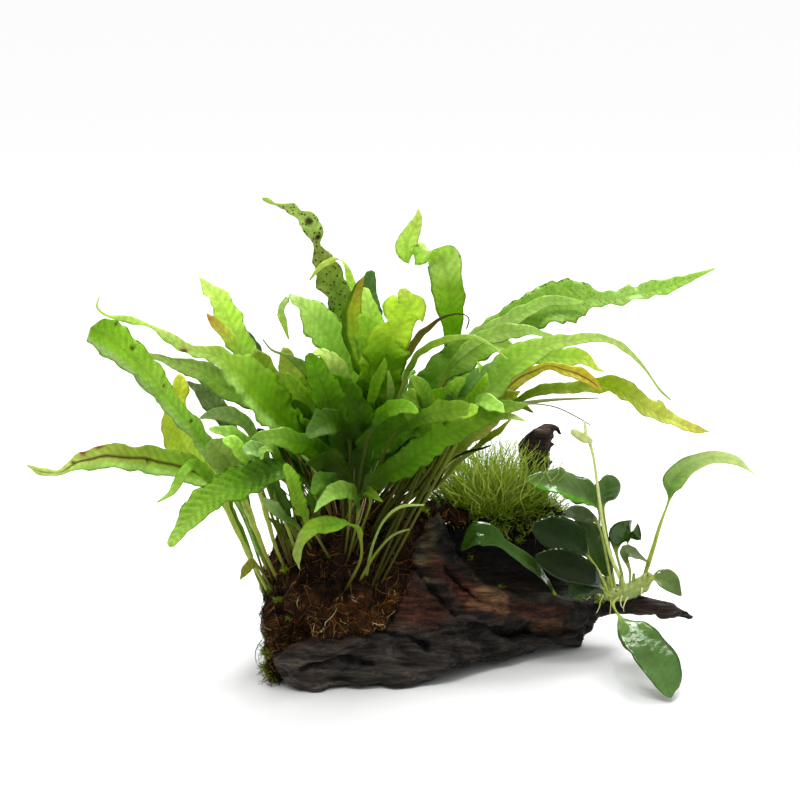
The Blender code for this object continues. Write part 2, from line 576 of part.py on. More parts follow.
ANUBIAS_LEAVES = {
    "upper_left": dict(route=(
        (606, 560, 20, 2.2), (600, 530, 26, 2), (598, 508, 27, 2.6), (586, 494, 26, 17),
        (564, 486, 23, 21), (542, 482, 20, 13), (524, 479, 18, 1.5)), face=(0.2, -0.5, 0.8)),
    "upper_right": dict(route=(
        (612, 570, 24, 2.2), (607, 535, 30, 2), (603, 506, 34, 3), (604, 496, 35, 15),
        (608, 484, 37, 15), (607, 474, 39, 4)), face=(0.3, -0.8, 0.4)),
    "large_dark": dict(route=(
        (600, 574, -2, 2.2), (588, 556, -4, 3), (574, 542, -6, 20), (554, 535, -7, 23),
        (540, 530, -8, 14), (531, 526, -8, 3)), face=(0.0, -0.6, 0.7)),
    "beside_stalk": dict(route=(
        (611, 580, 13, 2.4), (603, 562, 14, 15), (592, 542, 14, 21), (580, 528, 14, 13),
        (574, 521, 14, 3)), face=(0.3, -0.7, 0.6)),
    "low_dark": dict(foot=(608, 598, 0), route=(
        (602, 588, -10, 2.2), (590, 576, -16, 14), (566, 566, -19, 19), (546, 560, -21, 12),
        (534, 556, -22, 2)), face=(0.0, -0.7, 0.6)),
    "far_left": dict(foot=(556, 596, 2), route=(
        (544, 578, -14, 4), (526, 561, -20, 5), (506, 546, -23, 4), (493, 536, -25, 12),
        (478, 535, -26, 15), (466, 545, -26, 7), (460, 551, -26, 1)), face=(0.0, -0.7, 0.7)),
    "right_curled": dict(route=(
        (622, 575, 18, 2.2), (616, 550, 19, 3), (619, 535, 20, 13), (630, 532, 20, 13),
        (641, 540, 20, 2)), face=(0.1, -0.8, 0.5)),
    "right_oval": dict(route=(
        (652, 578, 4, 3), (661, 578, 3, 13), (671, 584, 2, 15), (682, 596, 1, 2)),
        face=(0.3, -0.6, 0.7)),
    "drooping": dict(foot=(620, 597, 6), route=(
        (611, 604, -6, 2.5), (617, 617, -15, 3), (628, 631, -27, 20), (645, 655, -45, 27),
        (660, 679, -61, 21), (668, 692, -69, 9), (671, 698, -73, 2)), face=(0.3, -0.7, 0.6)),
    "high_curled": dict(route=(
        (651, 562, 14, 2.4), (659, 528, 16, 2.2), (669, 500, 18, 2.2), (673, 482, 18, 13, 20),
        (690, 466, 18, 17, 50), (714, 458, 18, 17, 60), (738, 462, 18, 11, 50), (756, 476, 18, 1.5)),
        face=(-0.3, -0.7, 0.7)),
}

SMALL_ANUBIAS_LEAVES = {
    "upper small": dict(route=(
        (606, 555, 9, 2), (598, 524, 11, 2), (588, 517, 12, 8), (575, 513, 12, 9), (563, 515, 12, 2))),
    "right small": dict(route=(
        (630, 572, 12, 2), (624, 552, 12, 6), (634, 554, 12, 11), (650, 563, 12, 2))),
    "low small": dict(route=(
        (606, 594, -8, 2), (594, 586, -15, 11), (578, 588, -18, 12), (570, 598, -19, 3))),
}


def rhizome_foot(route):
    """Where on the anubias's creeping stem a leaf's stalk stands."""
    middle_across, middle_down, middle_depth = RHIZOME_MIDDLE
    along = RHIZOME_FAN_ACROSS * (route[0][0] - middle_across)
    along = max(-RHIZOME_LENGTH / 2.0, min(RHIZOME_LENGTH / 2.0, along))
    depth = middle_depth + RHIZOME_FAN_DEPTH * (route[0][2] - middle_depth)
    return (middle_across + along, middle_down - RHIZOME_SLOPE * along, depth)


def leaves_to_fuse(name, shapes, collection):
    """Small leaves in one hidden mesh, to be joined to what they grow from."""
    source = bmesh.new()
    for shape in shapes:
        add_leaf(source, steps=1, **shape)
    bmesh.ops.triangulate(source, faces=source.faces[:])
    bmesh.ops.recalc_face_normals(source, faces=source.faces[:])
    made = place(name, source, collection, None)
    made.hide_render = True
    made.display_type = "WIRE"
    return made


def join(piece, addition, use_self=True):
    boolean = piece.modifiers.new("join " + addition.name, "BOOLEAN")
    boolean.operation = "UNION"
    boolean.solver = "EXACT"
    boolean.use_self = use_self
    boolean.object = addition
    settle_modifiers(piece)
    keep_largest_island(piece)


def on_rhizome(shape):
    """An anubias leaf's shape, with its foot on the creeping stem unless it has one."""
    placed = dict(shape)
    placed["spread"] = 0.0
    placed.setdefault("foot", rhizome_foot(shape["route"]))
    return placed


def add_wood(name, add_form, collection, finish, voxel, kept, lump, spacing):
    source = bmesh.new()
    add_form(source)
    piece = place(name, source, collection, finish)
    fuse_lumps(piece, voxel, kept, lump, spacing)
    return piece


def build():
    clear_scene()
    plant = new_collection("java fern on driftwood")
    cutters = new_collection("cutters")

    bark = material("wet bog wood", (0.035, 0.022, 0.016), 0.75)
    felt = material("root felt", (0.09, 0.04, 0.018), 0.9)
    moss_green = material("moss", (0.22, 0.32, 0.02), 0.8)
    fern_green = material("fern leaf", (0.14, 0.32, 0.02), 0.45)
    dark_green = material("anubias leaf", (0.02, 0.09, 0.015), 0.25)
    stem_green = material("anubias stem", (0.32, 0.42, 0.12), 0.5)

    trunk = add_wood("driftwood_trunk", add_trunk, plant, bark,
                     WOOD_VOXEL, WOOD_FACES_KEPT, WOOD_LUMP, WOOD_LUMP_SPACING)
    cut_flat_below(trunk, 0.0)
    trunk_cutter = grown_copy(trunk, cutters)
    branch_voxel = WOOD_VOXEL / 2.0
    branch_lumps = (BRANCH_FACES_KEPT, WOOD_LUMP / 2.0, WOOD_LUMP_SPACING / 2.0)
    stub = add_wood("driftwood_stub", add_stub, plant, bark, branch_voxel, *branch_lumps)
    stub_cutter = grown_copy(stub, cutters)
    cut(stub, trunk_cutter)
    spur = add_wood("driftwood_spur", add_spur, plant, bark, branch_voxel, *branch_lumps)
    spur_cutter = grown_copy(spur, cutters)
    cut(spur, trunk_cutter)

    mat = add_wood("fern_root_mat", add_root_mat, plant, felt,
                   MAT_VOXEL, MAT_FACES_KEPT, MAT_LUMP, MAT_LUMP_SPACING)
    cut_flat_below(mat, MAT_CLEARANCE)
    cut(mat, trunk_cutter)
    mat_cutter = grown_copy(mat, cutters)
    join(mat, leaves_to_fuse("young fern leaves", YOUNG_FERN_LEAVES.values(), cutters))

    moss = add_wood("moss_tuft", add_moss, plant, moss_green,
                    MOSS_VOXEL, MOSS_FACES_KEPT, MAT_LUMP, MAT_LUMP_SPACING)
    cut(moss, grown_copy(trunk, cutters, MOSS_GAP), stub_cutter, mat_cutter)

    rhizome = add_wood("anubias_rhizome", add_rhizome, plant, stem_green,
                       branch_voxel, BRANCH_FACES_KEPT, 0.0, WOOD_LUMP_SPACING)
    rhizome_cutter = grown_copy(rhizome, cutters)
    small_leaves = [on_rhizome(shape) for shape in SMALL_ANUBIAS_LEAVES.values()]
    join(rhizome, leaves_to_fuse("small anubias leaves", small_leaves, cutters))
    cut(rhizome, trunk_cutter, spur_cutter)

    for name, shape in FERN_LEAVES.items():
        leaf = leaf_object("fern_leaf_" + name, plant, fern_green, **shape)
        cut(leaf, mat_cutter)
    for name, shape in ANUBIAS_LEAVES.items():
        leaf = leaf_object("anubias_leaf_" + name, plant, dark_green, **on_rhizome(shape))
        cut(leaf, rhizome_cutter, trunk_cutter, spur_cutter)

    flower = leaf_object("anubias_flower", plant, stem_green, **FLOWER_STALK)
    for name, knots in (("flower bud", FLOWER_BUD), ("flower spike", FLOWER_SPIKE)):
        source = bmesh.new()
        add_limb(source, *knots)
        form = place(name, source, cutters, None)
        form.hide_render = True
        form.display_type = "WIRE"
        join(flower, form, use_self=False)
    cut(flower, rhizome_cutter, trunk_cutter, spur_cutter)


build()
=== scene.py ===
"""Java fern, a dwarf anubias and a tuft of moss grown on a piece of driftwood: how they look.

Units are metres, +Z is up. Leaves and marks are placed by where they show in the photograph (pixel
across, pixel down), and by how far they stand in front of (-) or behind (+) the middle of the wood, in
millimetres.
"""

import math
import random

import bpy
import numpy as np
from mathutils import Matrix, Vector, noise
from mathutils.bvhtree import BVHTree


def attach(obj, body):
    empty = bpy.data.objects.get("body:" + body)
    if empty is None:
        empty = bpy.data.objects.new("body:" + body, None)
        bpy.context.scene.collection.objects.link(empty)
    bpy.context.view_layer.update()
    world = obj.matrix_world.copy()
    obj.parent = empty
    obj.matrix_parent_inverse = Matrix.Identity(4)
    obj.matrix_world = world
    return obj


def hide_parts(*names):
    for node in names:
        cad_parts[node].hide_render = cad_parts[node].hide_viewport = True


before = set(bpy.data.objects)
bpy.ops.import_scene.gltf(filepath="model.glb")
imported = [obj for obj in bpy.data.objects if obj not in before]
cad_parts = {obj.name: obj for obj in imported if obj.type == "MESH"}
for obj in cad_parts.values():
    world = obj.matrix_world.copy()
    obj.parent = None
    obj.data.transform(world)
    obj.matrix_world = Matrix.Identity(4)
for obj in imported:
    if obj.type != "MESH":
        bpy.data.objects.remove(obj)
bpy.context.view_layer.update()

# The driftwood: bog wood, dark from years of tannin under water, worn by hand to a low arch with one
# tall splintered plate, an open hollow on the right, a broken stub behind and a thin spur at the end.
# Nothing is fixed to it but what has grown on.
MM = 0.001

# How the photograph sees the plant
PLANT_SPAN = 402.0 * MM
SPAN_IN_PIXELS = 731.0
VIEW_DISTANCE = 1000.0 * MM
VIEW_ELEVATION = math.radians(14.0)
VIEW_HEIGHT = 151.0 * MM
PHOTO_MIDDLE = 400.0
ORIGIN_SHIFT = Vector((4.3, 8.5, 0.0)) * MM
VIEW_FORWARD = Vector((0.0, math.cos(VIEW_ELEVATION), -math.sin(VIEW_ELEVATION)))
VIEW_UP = Vector((0.0, math.sin(VIEW_ELEVATION), math.cos(VIEW_ELEVATION)))
VIEW_RIGHT = Vector((1.0, 0.0, 0.0))
EYE = Vector((0.0, 0.0, VIEW_HEIGHT)) - VIEW_FORWARD * VIEW_DISTANCE
PIXEL = PLANT_SPAN / SPAN_IN_PIXELS


def sight(across, down, depth):
    """The point that shows at a pixel of the photograph and stands at a depth in millimetres."""
    ray = VIEW_FORWARD * VIEW_DISTANCE
    ray = ray + VIEW_RIGHT * (across - PHOTO_MIDDLE) * PIXEL
    ray = ray + VIEW_UP * (PHOTO_MIDDLE - down) * PIXEL
    return EYE + ray * ((depth * MM - EYE.y) / ray.y)


def seen_at(points):
    """The pixels of the photograph at which an array of points shows, across and down."""
    rays = points + np.array(ORIGIN_SHIFT) - np.array(EYE)
    ahead = rays @ np.array(VIEW_FORWARD)
    across = PHOTO_MIDDLE + rays @ np.array(VIEW_RIGHT) * (VIEW_DISTANCE / PIXEL) / ahead
    down = PHOTO_MIDDLE - rays @ np.array(VIEW_UP) * (VIEW_DISTANCE / PIXEL) / ahead
    return across, down


def linear(hex_colour):
    """An sRGB colour as the linear numbers that shaders take."""
    shares = [int(hex_colour[i:i + 2], 16) / 255.0 for i in (1, 3, 5)]
    return [share / 12.92 if share <= 0.04045 else ((share + 0.055) / 1.055) ** 2.4 for share in shares]


def add_node(tree, kind, settings=None, **inputs):
    """Add a shader node. An input is a value, or an output socket of another node to link."""
    made = tree.nodes.new(kind)
    for setting, value in (settings or {}).items():
        setattr(made, setting, value)
    for socket_name, value in inputs.items():
        key = int(socket_name[1:]) if socket_name[1:].isdigit() else socket_name.replace("_", " ")
        if isinstance(value, bpy.types.NodeSocket):
            tree.links.new(value, made.inputs[key])
        else:
            made.inputs[key].default_value = value
    return made


def new_material(name):
    made = bpy.data.materials.new(name)
    made.use_nodes = True
    made.node_tree.nodes.clear()
    return made, made.node_tree


def set_ramp(ramp_node, *stops):
    """Give a colour ramp its stops, each a place from 0 to 1 and a hex colour."""
    elements = ramp_node.color_ramp.elements
    while len(elements) > 1:
        elements.remove(elements[-1])
    elements[0].position = stops[0][0]
    elements[0].color = (*linear(stops[0][1]), 1.0)
    for place, colour in stops[1:]:
        stop = elements.new(place)
        stop.color = (*linear(colour), 1.0)


def select_only(piece):
    bpy.ops.object.select_all(action="DESELECT")
    piece.select_set(True)
    bpy.context.view_layer.objects.active = piece


def weld(piece, distance=0.01 * MM):
    """Merge points that lie together, and turn all faces outwards."""
    select_only(piece)
    bpy.ops.object.mode_set(mode="EDIT")
    bpy.ops.mesh.select_all(action="SELECT")
    bpy.ops.mesh.remove_doubles(threshold=distance)
    bpy.ops.mesh.normals_make_consistent(inside=False)
    bpy.ops.object.mode_set(mode="OBJECT")


def one_skin(piece, voxel):
    """Melt a piece's overlapping forms into one closed skin."""
    select_only(piece)
    melt = piece.modifiers.new("one skin", "REMESH")
    melt.mode = "VOXEL"
    melt.voxel_size = voxel
    bpy.ops.object.modifier_apply(modifier=melt.name)
    bpy.ops.object.shade_smooth()


def points_of(mesh):
    flat = np.empty(len(mesh.vertices) * 3)
    mesh.vertices.foreach_get("co", flat)
    return flat.reshape(-1, 3)


def normals_of(mesh):
    flat = np.empty(len(mesh.vertices) * 3)
    mesh.vertex_normals.foreach_get("vector", flat)
    return flat.reshape(-1, 3)


def move_points(mesh, points):
    mesh.vertices.foreach_set("co", points.ravel())
    mesh.update()


def paint(mesh, **values):
    """Keep one number for each point of a mesh under a name that its material reads."""
    for name, numbers in values.items():
        layer = mesh.attributes.new(name, "FLOAT", "POINT")
        layer.data.foreach_set("value", np.asarray(numbers, dtype=np.float32))


def noise_at(points, *scales):
    """Smooth noise from -1 to 1 at an array of points. Scales are in metres, one for each axis."""
    scaled = points / np.array(scales if len(scales) == 3 else scales * 3)
    return np.array([noise.noise(point) for point in scaled.tolist()])


def between(low, high, values):
    """0 below low, 1 above high, and a smooth rise in between."""
    share = np.clip((values - low) / (high - low), 0.0, 1.0)
    return share * share * (3.0 - 2.0 * share)


def away_from_path(across, down, path):
    """How many pixels each point of the photograph is from a path of pixels."""
    least = np.full(len(across), 1e9)
    for (x0, y0), (x1, y1) in zip(path, path[1:]):
        length = (x1 - x0) ** 2 + (y1 - y0) ** 2
        share = np.clip(((across - x0) * (x1 - x0) + (down - y0) * (y1 - y0)) / length, 0.0, 1.0)
        least = np.minimum(least, np.hypot(across - x0 - share * (x1 - x0), down - y0 - share * (y1 - y0)))
    return least


def add_ball(middle, radii, subdivisions=3):
    """Add an egg shape, in the final frame."""
    bpy.ops.object.select_all(action="DESELECT")
    bpy.ops.mesh.primitive_ico_sphere_add(subdivisions=subdivisions, radius=1.0)
    ball = bpy.context.active_object
    ball.data.transform(Matrix.Translation(middle - ORIGIN_SHIFT) @ Matrix.Diagonal((*radii, 1.0)))
    return ball


def add_limb(*knots):
    """Egg shapes in a row so close that they make one tapered limb: across, down, depth, radius, flatness."""
    balls = []
    for first, second in zip(knots, knots[1:]):
        start = sight(*first[:3])
        end = sight(*second[:3])
        steps = max(2, int((end - start).length / (0.45 * min(first[3], second[3]) * MM)))
        for step in range(steps + 1):
            share = step / steps
            radius = (first[3] + (second[3] - first[3]) * share) * MM
            flatness = first[4] + (second[4] - first[4]) * share
            balls.append(add_ball(start.lerp(end, share), (radius, radius, radius * flatness), 2))
    return balls


def joined(name, pieces):
    """Make one object of several."""
    bpy.ops.object.select_all(action="DESELECT")
    for piece in pieces:
        piece.select_set(True)
    bpy.context.view_layer.objects.active = pieces[0]
    if len(pieces) > 1:
        bpy.ops.object.join()
    made = bpy.context.active_object
    made.name = name
    made.data.name = name
    return made


def copy_of_solid(node_name):
    """A merged copy of a solid's mesh, to be worked on."""
    copy = bpy.data.objects.new(node_name + "_copy", bpy.data.objects[node_name].data.copy())
    bpy.context.scene.collection.objects.link(copy)
    copy.data.materials.clear()
    weld(copy)
    return copy


def ready(piece, material, body="root"):
    """Give a finished piece its material and its place on the plant."""
    piece.data.materials.clear()
    piece.data.materials.append(material)
    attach(piece, body)


WOOD_VOXEL = 1.3 * MM
WOOD_LUMP = 2.2 * MM
WOOD_LUMP_SPACING = 13.0 * MM
GRAIN_DEPTH = 1.9 * MM
LEDGE_DEPTH = 3.0 * MM
LEDGE_WIDTH = 9.0 * MM
LEDGE_LIP = 1.4 * MM
LEDGE_UNDERCUT = 3.2 * MM
GRAIN_LENGTH = 34.0 * MM
GRAIN_WIDTH = 2.8 * MM
FLOOR_KEPT = 2.5 * MM           # the resting flats below this stay as they are
PLATE_GRAIN = math.radians(55.0)        # on the tall plate the grain climbs, elsewhere it lies level
LOW_GRAIN = math.radians(8.0)

# Marks: a path of pixels, its half width in pixels
CRACKS = (
    (((400, 553), (418, 572), (438, 596), (455, 616)), 1.8),
    (((446, 566), (462, 588), (480, 600)), 1.6),
    (((352, 622), (392, 634), (430, 645)), 2.0),
    (((470, 628), (505, 634), (530, 629)), 2.0),
    (((300, 674), (340, 662), (372, 664)), 2.0),
)
RED_STREAKS = (
    (((385, 565), (400, 600), (430, 612)), 17.0),
    (((430, 560), (465, 590), (500, 612)), 9.0),
    (((470, 604), (520, 609), (560, 613)), 7.0),
    (((425, 540), (442, 566)), 4.0),
)
TAN_PATCHES = (
    (((478, 594), (503, 597)), 7.0),
    (((540, 624), (558, 628)), 6.0),
    (((424, 578), (427, 581)), 2.5),
    (((470, 606), (505, 610)), 4.0),
)
GREY_PATCHES = (
    (((280, 676), (300, 672), (320, 684)), 14.0),
)
OLIVE_PATCHES = (
    (((437, 516), (430, 535), (420, 550)), 13.0),
    (((545, 598), (590, 600)), 5.0),
)
WEDGE_TOP = ((519, 439), (546, 424), (553, 425), (558, 428), (562, 436))      # the stub's torn upper edge
LOWER_EDGE = ((270, 695), (405, 687), (432, 680), (450, 668), (470, 661), (505, 658), (530, 655), (545, 642),
              (562, 644), (580, 648), (600, 628), (620, 620))                  # the wood's undercut front
UNDERCUT_RISE = 7.0 * MM
# Painted shade: the hollow behind the wood's front is painted near-black, where it lies in shadow.
HOLLOW_SHADE = (((462, 535), (500, 545), (560, 568), (590, 586)), 28.0)
LEDGE_LINE = ((270, 664), (300, 652), (340, 643), (390, 634), (440, 625), (480, 616), (530, 614), (610, 613))


def roughen_wood(piece, relief):
    """Lumps, grain grooves and cracks, and the numbers that the wood's colours and painted shade follow."""
    mesh = piece.data
    points = points_of(mesh)
    across, down = seen_at(points)
    climbs = between(62.0 * MM, 82.0 * MM, points[:, 2]) * between(470.0, 450.0, across)
    angle = LOW_GRAIN + (PLATE_GRAIN - LOW_GRAIN) * climbs
    along = points[:, 0] * np.cos(angle) - points[:, 2] * np.sin(angle)
    level = points[:, 0] * np.sin(angle) + points[:, 2] * np.cos(angle)
    grained = np.stack((along, points[:, 1], level), axis=1)
    lumps = noise_at(points, WOOD_LUMP_SPACING)
    streaks = noise_at(grained, GRAIN_LENGTH, GRAIN_WIDTH * 1.6, GRAIN_WIDTH)
    fine = noise_at(grained, GRAIN_LENGTH / 3.0, GRAIN_WIDTH / 2.0, GRAIN_WIDTH / 2.4)
    ledges = noise_at(grained, GRAIN_LENGTH * 2.0, LEDGE_WIDTH * 1.5, LEDGE_WIDTH)
    grooves = -np.abs(streaks)
    facing = between(-0.1, 0.35, -(normals_of(mesh) @ np.array(VIEW_FORWARD)))
    wander = noise_at(points, 5.0 * MM) * 2.5
    marks = {}
    for name, paths in (("crack", CRACKS), ("red", RED_STREAKS), ("tan", TAN_PATCHES),
                        ("grey", GREY_PATCHES), ("olive", OLIVE_PATCHES), ("hollow", (HOLLOW_SHADE,))):
        share = np.zeros(len(points))
        for path, half_width in paths:
            away = away_from_path(across, down, path) + wander
            share = np.maximum(share, 1.0 - between(half_width * 0.5, half_width * 1.5, away))
        marks[name] = share * facing
    # Painted shade: the face below the ledge line is painted darker, as it lies under the ledge's overhang.
    ledge_across, ledge_down = zip(*LEDGE_LINE)
    below = down + wander * 2.0 - np.interp(across, ledge_across, ledge_down)
    marks["charcoal"] = between(-3.0, 4.0, below)
    push = lumps * WOOD_LUMP + (grooves + 0.3) * GRAIN_DEPTH + fine * GRAIN_DEPTH * 0.45
    push = push + (0.35 - np.abs(ledges) * 2.0) * LEDGE_DEPTH * between(0.0, 25.0 * MM, points[:, 2] + 15.0 * MM) * 0.6
    # The cracks are carved in, and also painted near-black as painted shade.
    push = push - marks["crack"] * 2.6 * MM
    lip = np.exp(-((below + 1.0) / 4.0) ** 2) * LEDGE_LIP
    undercut = between(2.0, 8.0, below) * (1.0 - between(14.0, 32.0, below)) * LEDGE_UNDERCUT
    push = push + (lip - undercut) * facing
    push = push * between(0.3 * MM, FLOOR_KEPT, points[:, 2]) * relief
    moved = points + normals_of(mesh) * push[:, None]
    hangs = down - np.interp(across, *zip(*LOWER_EDGE))
    moved[:, 2] += np.clip(hangs * PIXEL, 0.0, UNDERCUT_RISE) * (points[:, 2] < 40.0 * MM)
    moved[:, 2] = np.maximum(moved[:, 2], 0.0)
    move_points(mesh, moved)
    paint(mesh, groove=between(0.0, 0.5, np.abs(streaks)) * 0.7 + 0.3 * between(-0.4, 0.4, fine),
          crack=marks["crack"], red=marks["red"], tan=marks["tan"], grey=marks["grey"], olive=marks["olive"],
          hollow=marks["hollow"], charcoal=marks["charcoal"])


# Bog wood: tannin-black timber that was boiled and soaked. The eye sees a dull near-black brown with
# rusty and grey-tan wear, and a faint wet sheen. Its grain is lighter on the ridges and darker in the
# grooves, partly wear and partly painted light and shade.
bog_wood, tree = new_material("bog wood, water-worn")
place = add_node(tree, "ShaderNodeTexCoord").outputs["Object"]
streaks = add_node(tree, "ShaderNodeTexNoise", Scale=1.0 / (9.0 * MM), Detail=6.0, Roughness=0.65,
                   Vector=add_node(tree, "ShaderNodeMapping", Vector=place, Scale=(0.22, 1.0, 1.6),
                                   Rotation=(0.0, LOW_GRAIN, 0.0)).outputs[0])
pores = add_node(tree, "ShaderNodeTexNoise", Vector=place, Scale=1.0 / (1.1 * MM), Detail=4.0)
fibres = add_node(tree, "ShaderNodeTexNoise", Scale=1.0 / (1.7 * MM), Detail=3.0, Roughness=0.6,
                  Vector=add_node(tree, "ShaderNodeMapping", Vector=place, Scale=(0.09, 1.0, 1.3),
                                  Rotation=(0.0, LOW_GRAIN, 0.0)).outputs[0])
tone = add_node(tree, "ShaderNodeValToRGB", Fac=streaks.outputs[0])
set_ramp(tone, (0.3, "#0b0807"), (0.45, "#1f1713"), (0.56, "#33261f"), (0.68, "#4d3b2f"), (0.84, "#6f5f50"))
colour = tone.outputs[0]
# Red, tan, grey and olive are the wood's own colours; the face under the ledge, the hollow and the cracks are painted
# shade.
for mark, low, high, strength in (("charcoal", "#090807", "#45403a", 0.85), ("red", "#24120b", "#5f3320", 0.8),
                                  ("tan", "#4a2f1c", "#8f6a48", 0.7), ("grey", "#2e2622", "#75685e", 0.65),
                                  ("olive", "#2a2617", "#645c40", 0.85),
                                  ("hollow", "#030202", "#110d0a", 0.95), ("crack", "#020202", "#0c0907", 0.95)):
    share = add_node(tree, "ShaderNodeMath", {"operation": "MULTIPLY"}, _1=strength,
                     _0=add_node(tree, "ShaderNodeAttribute", {"attribute_name": mark}).outputs["Fac"])
    shades = add_node(tree, "ShaderNodeValToRGB", Fac=streaks.outputs[0])
    set_ramp(shades, (0.35, low), (0.68, high))
    colour = add_node(tree, "ShaderNodeMix", {"data_type": "RGBA"}, _0=share.outputs[0], _6=colour,
                      _7=shades.outputs[0]).outputs[2]
# Painted light and shade: the grain is lighter on its ridges and darker in its grooves.
worn = add_node(tree, "ShaderNodeAttribute", {"attribute_name": "groove"})
colour = add_node(tree, "ShaderNodeMix", {"data_type": "RGBA", "blend_type": "MULTIPLY"}, _6=colour, _0=0.75,
                  _7=add_node(tree, "ShaderNodeMapRange", Value=worn.outputs["Fac"], To_Min=1.5,
                              To_Max=0.25).outputs[0]).outputs[2]
fibre_shade = add_node(tree, "ShaderNodeMapRange", Value=fibres.outputs[0], From_Min=0.35, From_Max=0.65,
                       To_Min=0.45, To_Max=1.5)
colour = add_node(tree, "ShaderNodeMix", {"data_type": "RGBA", "blend_type": "MULTIPLY"}, _6=colour, _0=0.8,
                  _7=fibre_shade.outputs[0]).outputs[2]
height = add_node(tree, "ShaderNodeMath", {"operation": "MULTIPLY_ADD"}, _0=fibres.outputs[0], _1=1.6,
                  _2=add_node(tree, "ShaderNodeMath", {"operation": "ADD"}, _0=streaks.outputs[0],
                              _1=pores.outputs[0]).outputs[0])
bump = add_node(tree, "ShaderNodeBump", Height=height.outputs[0], Strength=0.9, Distance=1.2 * MM)
shader = add_node(tree, "ShaderNodeBsdfPrincipled", Base_Color=colour, Roughness=0.55,
                  Specular_IOR_Level=0.16, Normal=bump.outputs[0])
add_node(tree, "ShaderNodeOutputMaterial", Surface=shader.outputs[0])

stub_prongs = (add_limb((524, 444, 47, 3.5, 1.0), (534, 438, 47, 5.0, 1.0), (544, 433, 47, 5.0, 1.0),
                        (551, 428, 47, 1.8, 1.0), (557, 428, 47, 1.1, 1.0), (560, 433, 47, 0.9, 1.0))
               + add_limb((529, 478, 46, 6.0, 1.0), (528, 458, 47, 5.0, 1.0), (525, 446, 47, 3.6, 1.0))
               + add_limb((545, 440, 47, 3.2, 1.0), (551, 436, 47, 1.6, 1.0), (553, 437, 47, 1.0, 1.0))
               + add_limb((543, 452, 47, 3.0, 1.0), (550, 446, 47, 1.4, 1.0), (553, 444, 47, 0.9, 1.0))
               + add_limb((541, 470, 47, 3.5, 1.0), (549, 464, 47, 1.6, 1.0), (552, 462, 47, 1.1, 1.0)))
trunk = joined("bog_wood_trunk", [copy_of_solid("driftwood_trunk")]
               + add_limb((431, 516, 7, 2.2, 1.0), (437, 528, 6, 3.4, 1.2), (441, 548, 4, 5.0, 1.2))
               + add_limb((438, 514, 7, 2.0, 1.0), (443, 530, 6, 3.2, 1.2), (449, 552, 3, 4.5, 1.2)))
for solid, piece, voxel in (("driftwood_trunk", trunk, WOOD_VOXEL),
                            ("driftwood_stub", joined("stub", [copy_of_solid("driftwood_stub")] + stub_prongs),
                             WOOD_VOXEL * 0.6),
                            ("driftwood_spur", copy_of_solid("driftwood_spur"), WOOD_VOXEL * 0.75)):
    piece.name = solid.replace("driftwood", "bog_wood")
    one_skin(piece, voxel)
    if solid == "driftwood_stub":
        wedge_points = points_of(piece.data)
        wedge_across, wedge_down = seen_at(wedge_points)
        over = np.interp(wedge_across, *zip(*WEDGE_TOP)) - wedge_down
        wedge_points[:, 2] -= np.maximum(0.0, over) * PIXEL
        move_points(piece.data, wedge_points)
    roughen_wood(piece, 0.4 if solid == "driftwood_stub" else 1.0)
    ready(piece, bog_wood)
    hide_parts(solid)


# The root mat: the fern's creeping stems and felted brown roots, grown into a soft dome that hugs the
# wood's left half. Thousands of fine roots cover it, a few long ones hang free, and scraps of pale old
# root and green moss are caught in it.
MAT_MIDDLE = Vector((-32.0, 2.0, 45.0)) * MM
MAT_RADII = Vector((45.0, 39.0, 46.0)) * MM
STALK_FAN_ACROSS = 0.33
STALK_FAN_DEPTH = 0.62
STALK_ROOTED = 7.0 * MM
DOME_RIM = 0.05
MAT_VOXEL = 2.0 * MM
MAT_LUMP = 5.0 * MM
MAT_LUMP_SPACING = 12.0 * MM
ROOT_COUNT = 5600
ROOT_STEP = 3.4 * MM
ROOT_LIFT = 2.6 * MM
ABOVE_FLOOR = 0.3 * MM
ROOT_RADIUS = 0.17 * MM
RUST_PLACE = (362.0, 622.0)     # pixels: the rusty, lighter part of the mat
RUST_REACH = (62.0, 30.0)
OLD_STALK_COUNT = 90
HANGING_ROOT_COUNT = 110
PALE_SCRAPS = (                 # stripped old roots: pixel across, pixel down, depth in mm
    (360, 645, -42), (372, 640, -41), (382, 634, -39), (328, 642, -46), (304, 641, -46), (345, 597, -42),
    (312, 622, -44), (300, 600, -38), (390, 600, -34))
STRAY_ROOTS = (                 # pixel across, pixel down, depth in mm
    ((270, 672, -37), (269, 681, -39), (272, 689, -40), (267, 696, -40)),
    ((262, 640, -34), (256, 648, -36), (255, 660, -37), (259, 668, -37)),
    ((395, 535, -12), (390, 560, -24), (386, 590, -33), (392, 612, -36)),
    ((368, 545, -30), (372, 575, -36), (362, 600, -38), (366, 622, -40)),
    ((330, 560, -34), (322, 590, -40), (327, 618, -44), (318, 640, -46)),
    ((300, 575, -30), (292, 600, -38), (296, 630, -42), (288, 655, -44)),
    ((352, 600, -42), (344, 612, -44), (350, 628, -45), (343, 641, -46)),
    ((410, 560, -16), (404, 580, -22), (410, 600, -28), (402, 622, -32)),
    ((280, 590, -24), (272, 605, -28), (270, 625, -31), (262, 640, -33)),
    ((425, 520, 0), (430, 540, -8), (427, 560, -14), (434, 582, -16)),
)


def stalk_foot(first):
    """Where on the dome of the root mat a stalk stands."""
    across = MAT_MIDDLE.x + STALK_FAN_ACROSS * (first.x - MAT_MIDDLE.x)
    depth = STALK_FAN_DEPTH * first.y
    slope = ((across - MAT_MIDDLE.x) / MAT_RADII.x) ** 2 + ((depth - MAT_MIDDLE.y) / MAT_RADII.y) ** 2
    height = MAT_MIDDLE.z + MAT_RADII.z * math.sqrt(max(DOME_RIM, 1.0 - slope)) - STALK_ROOTED
    return Vector((across, depth, height))


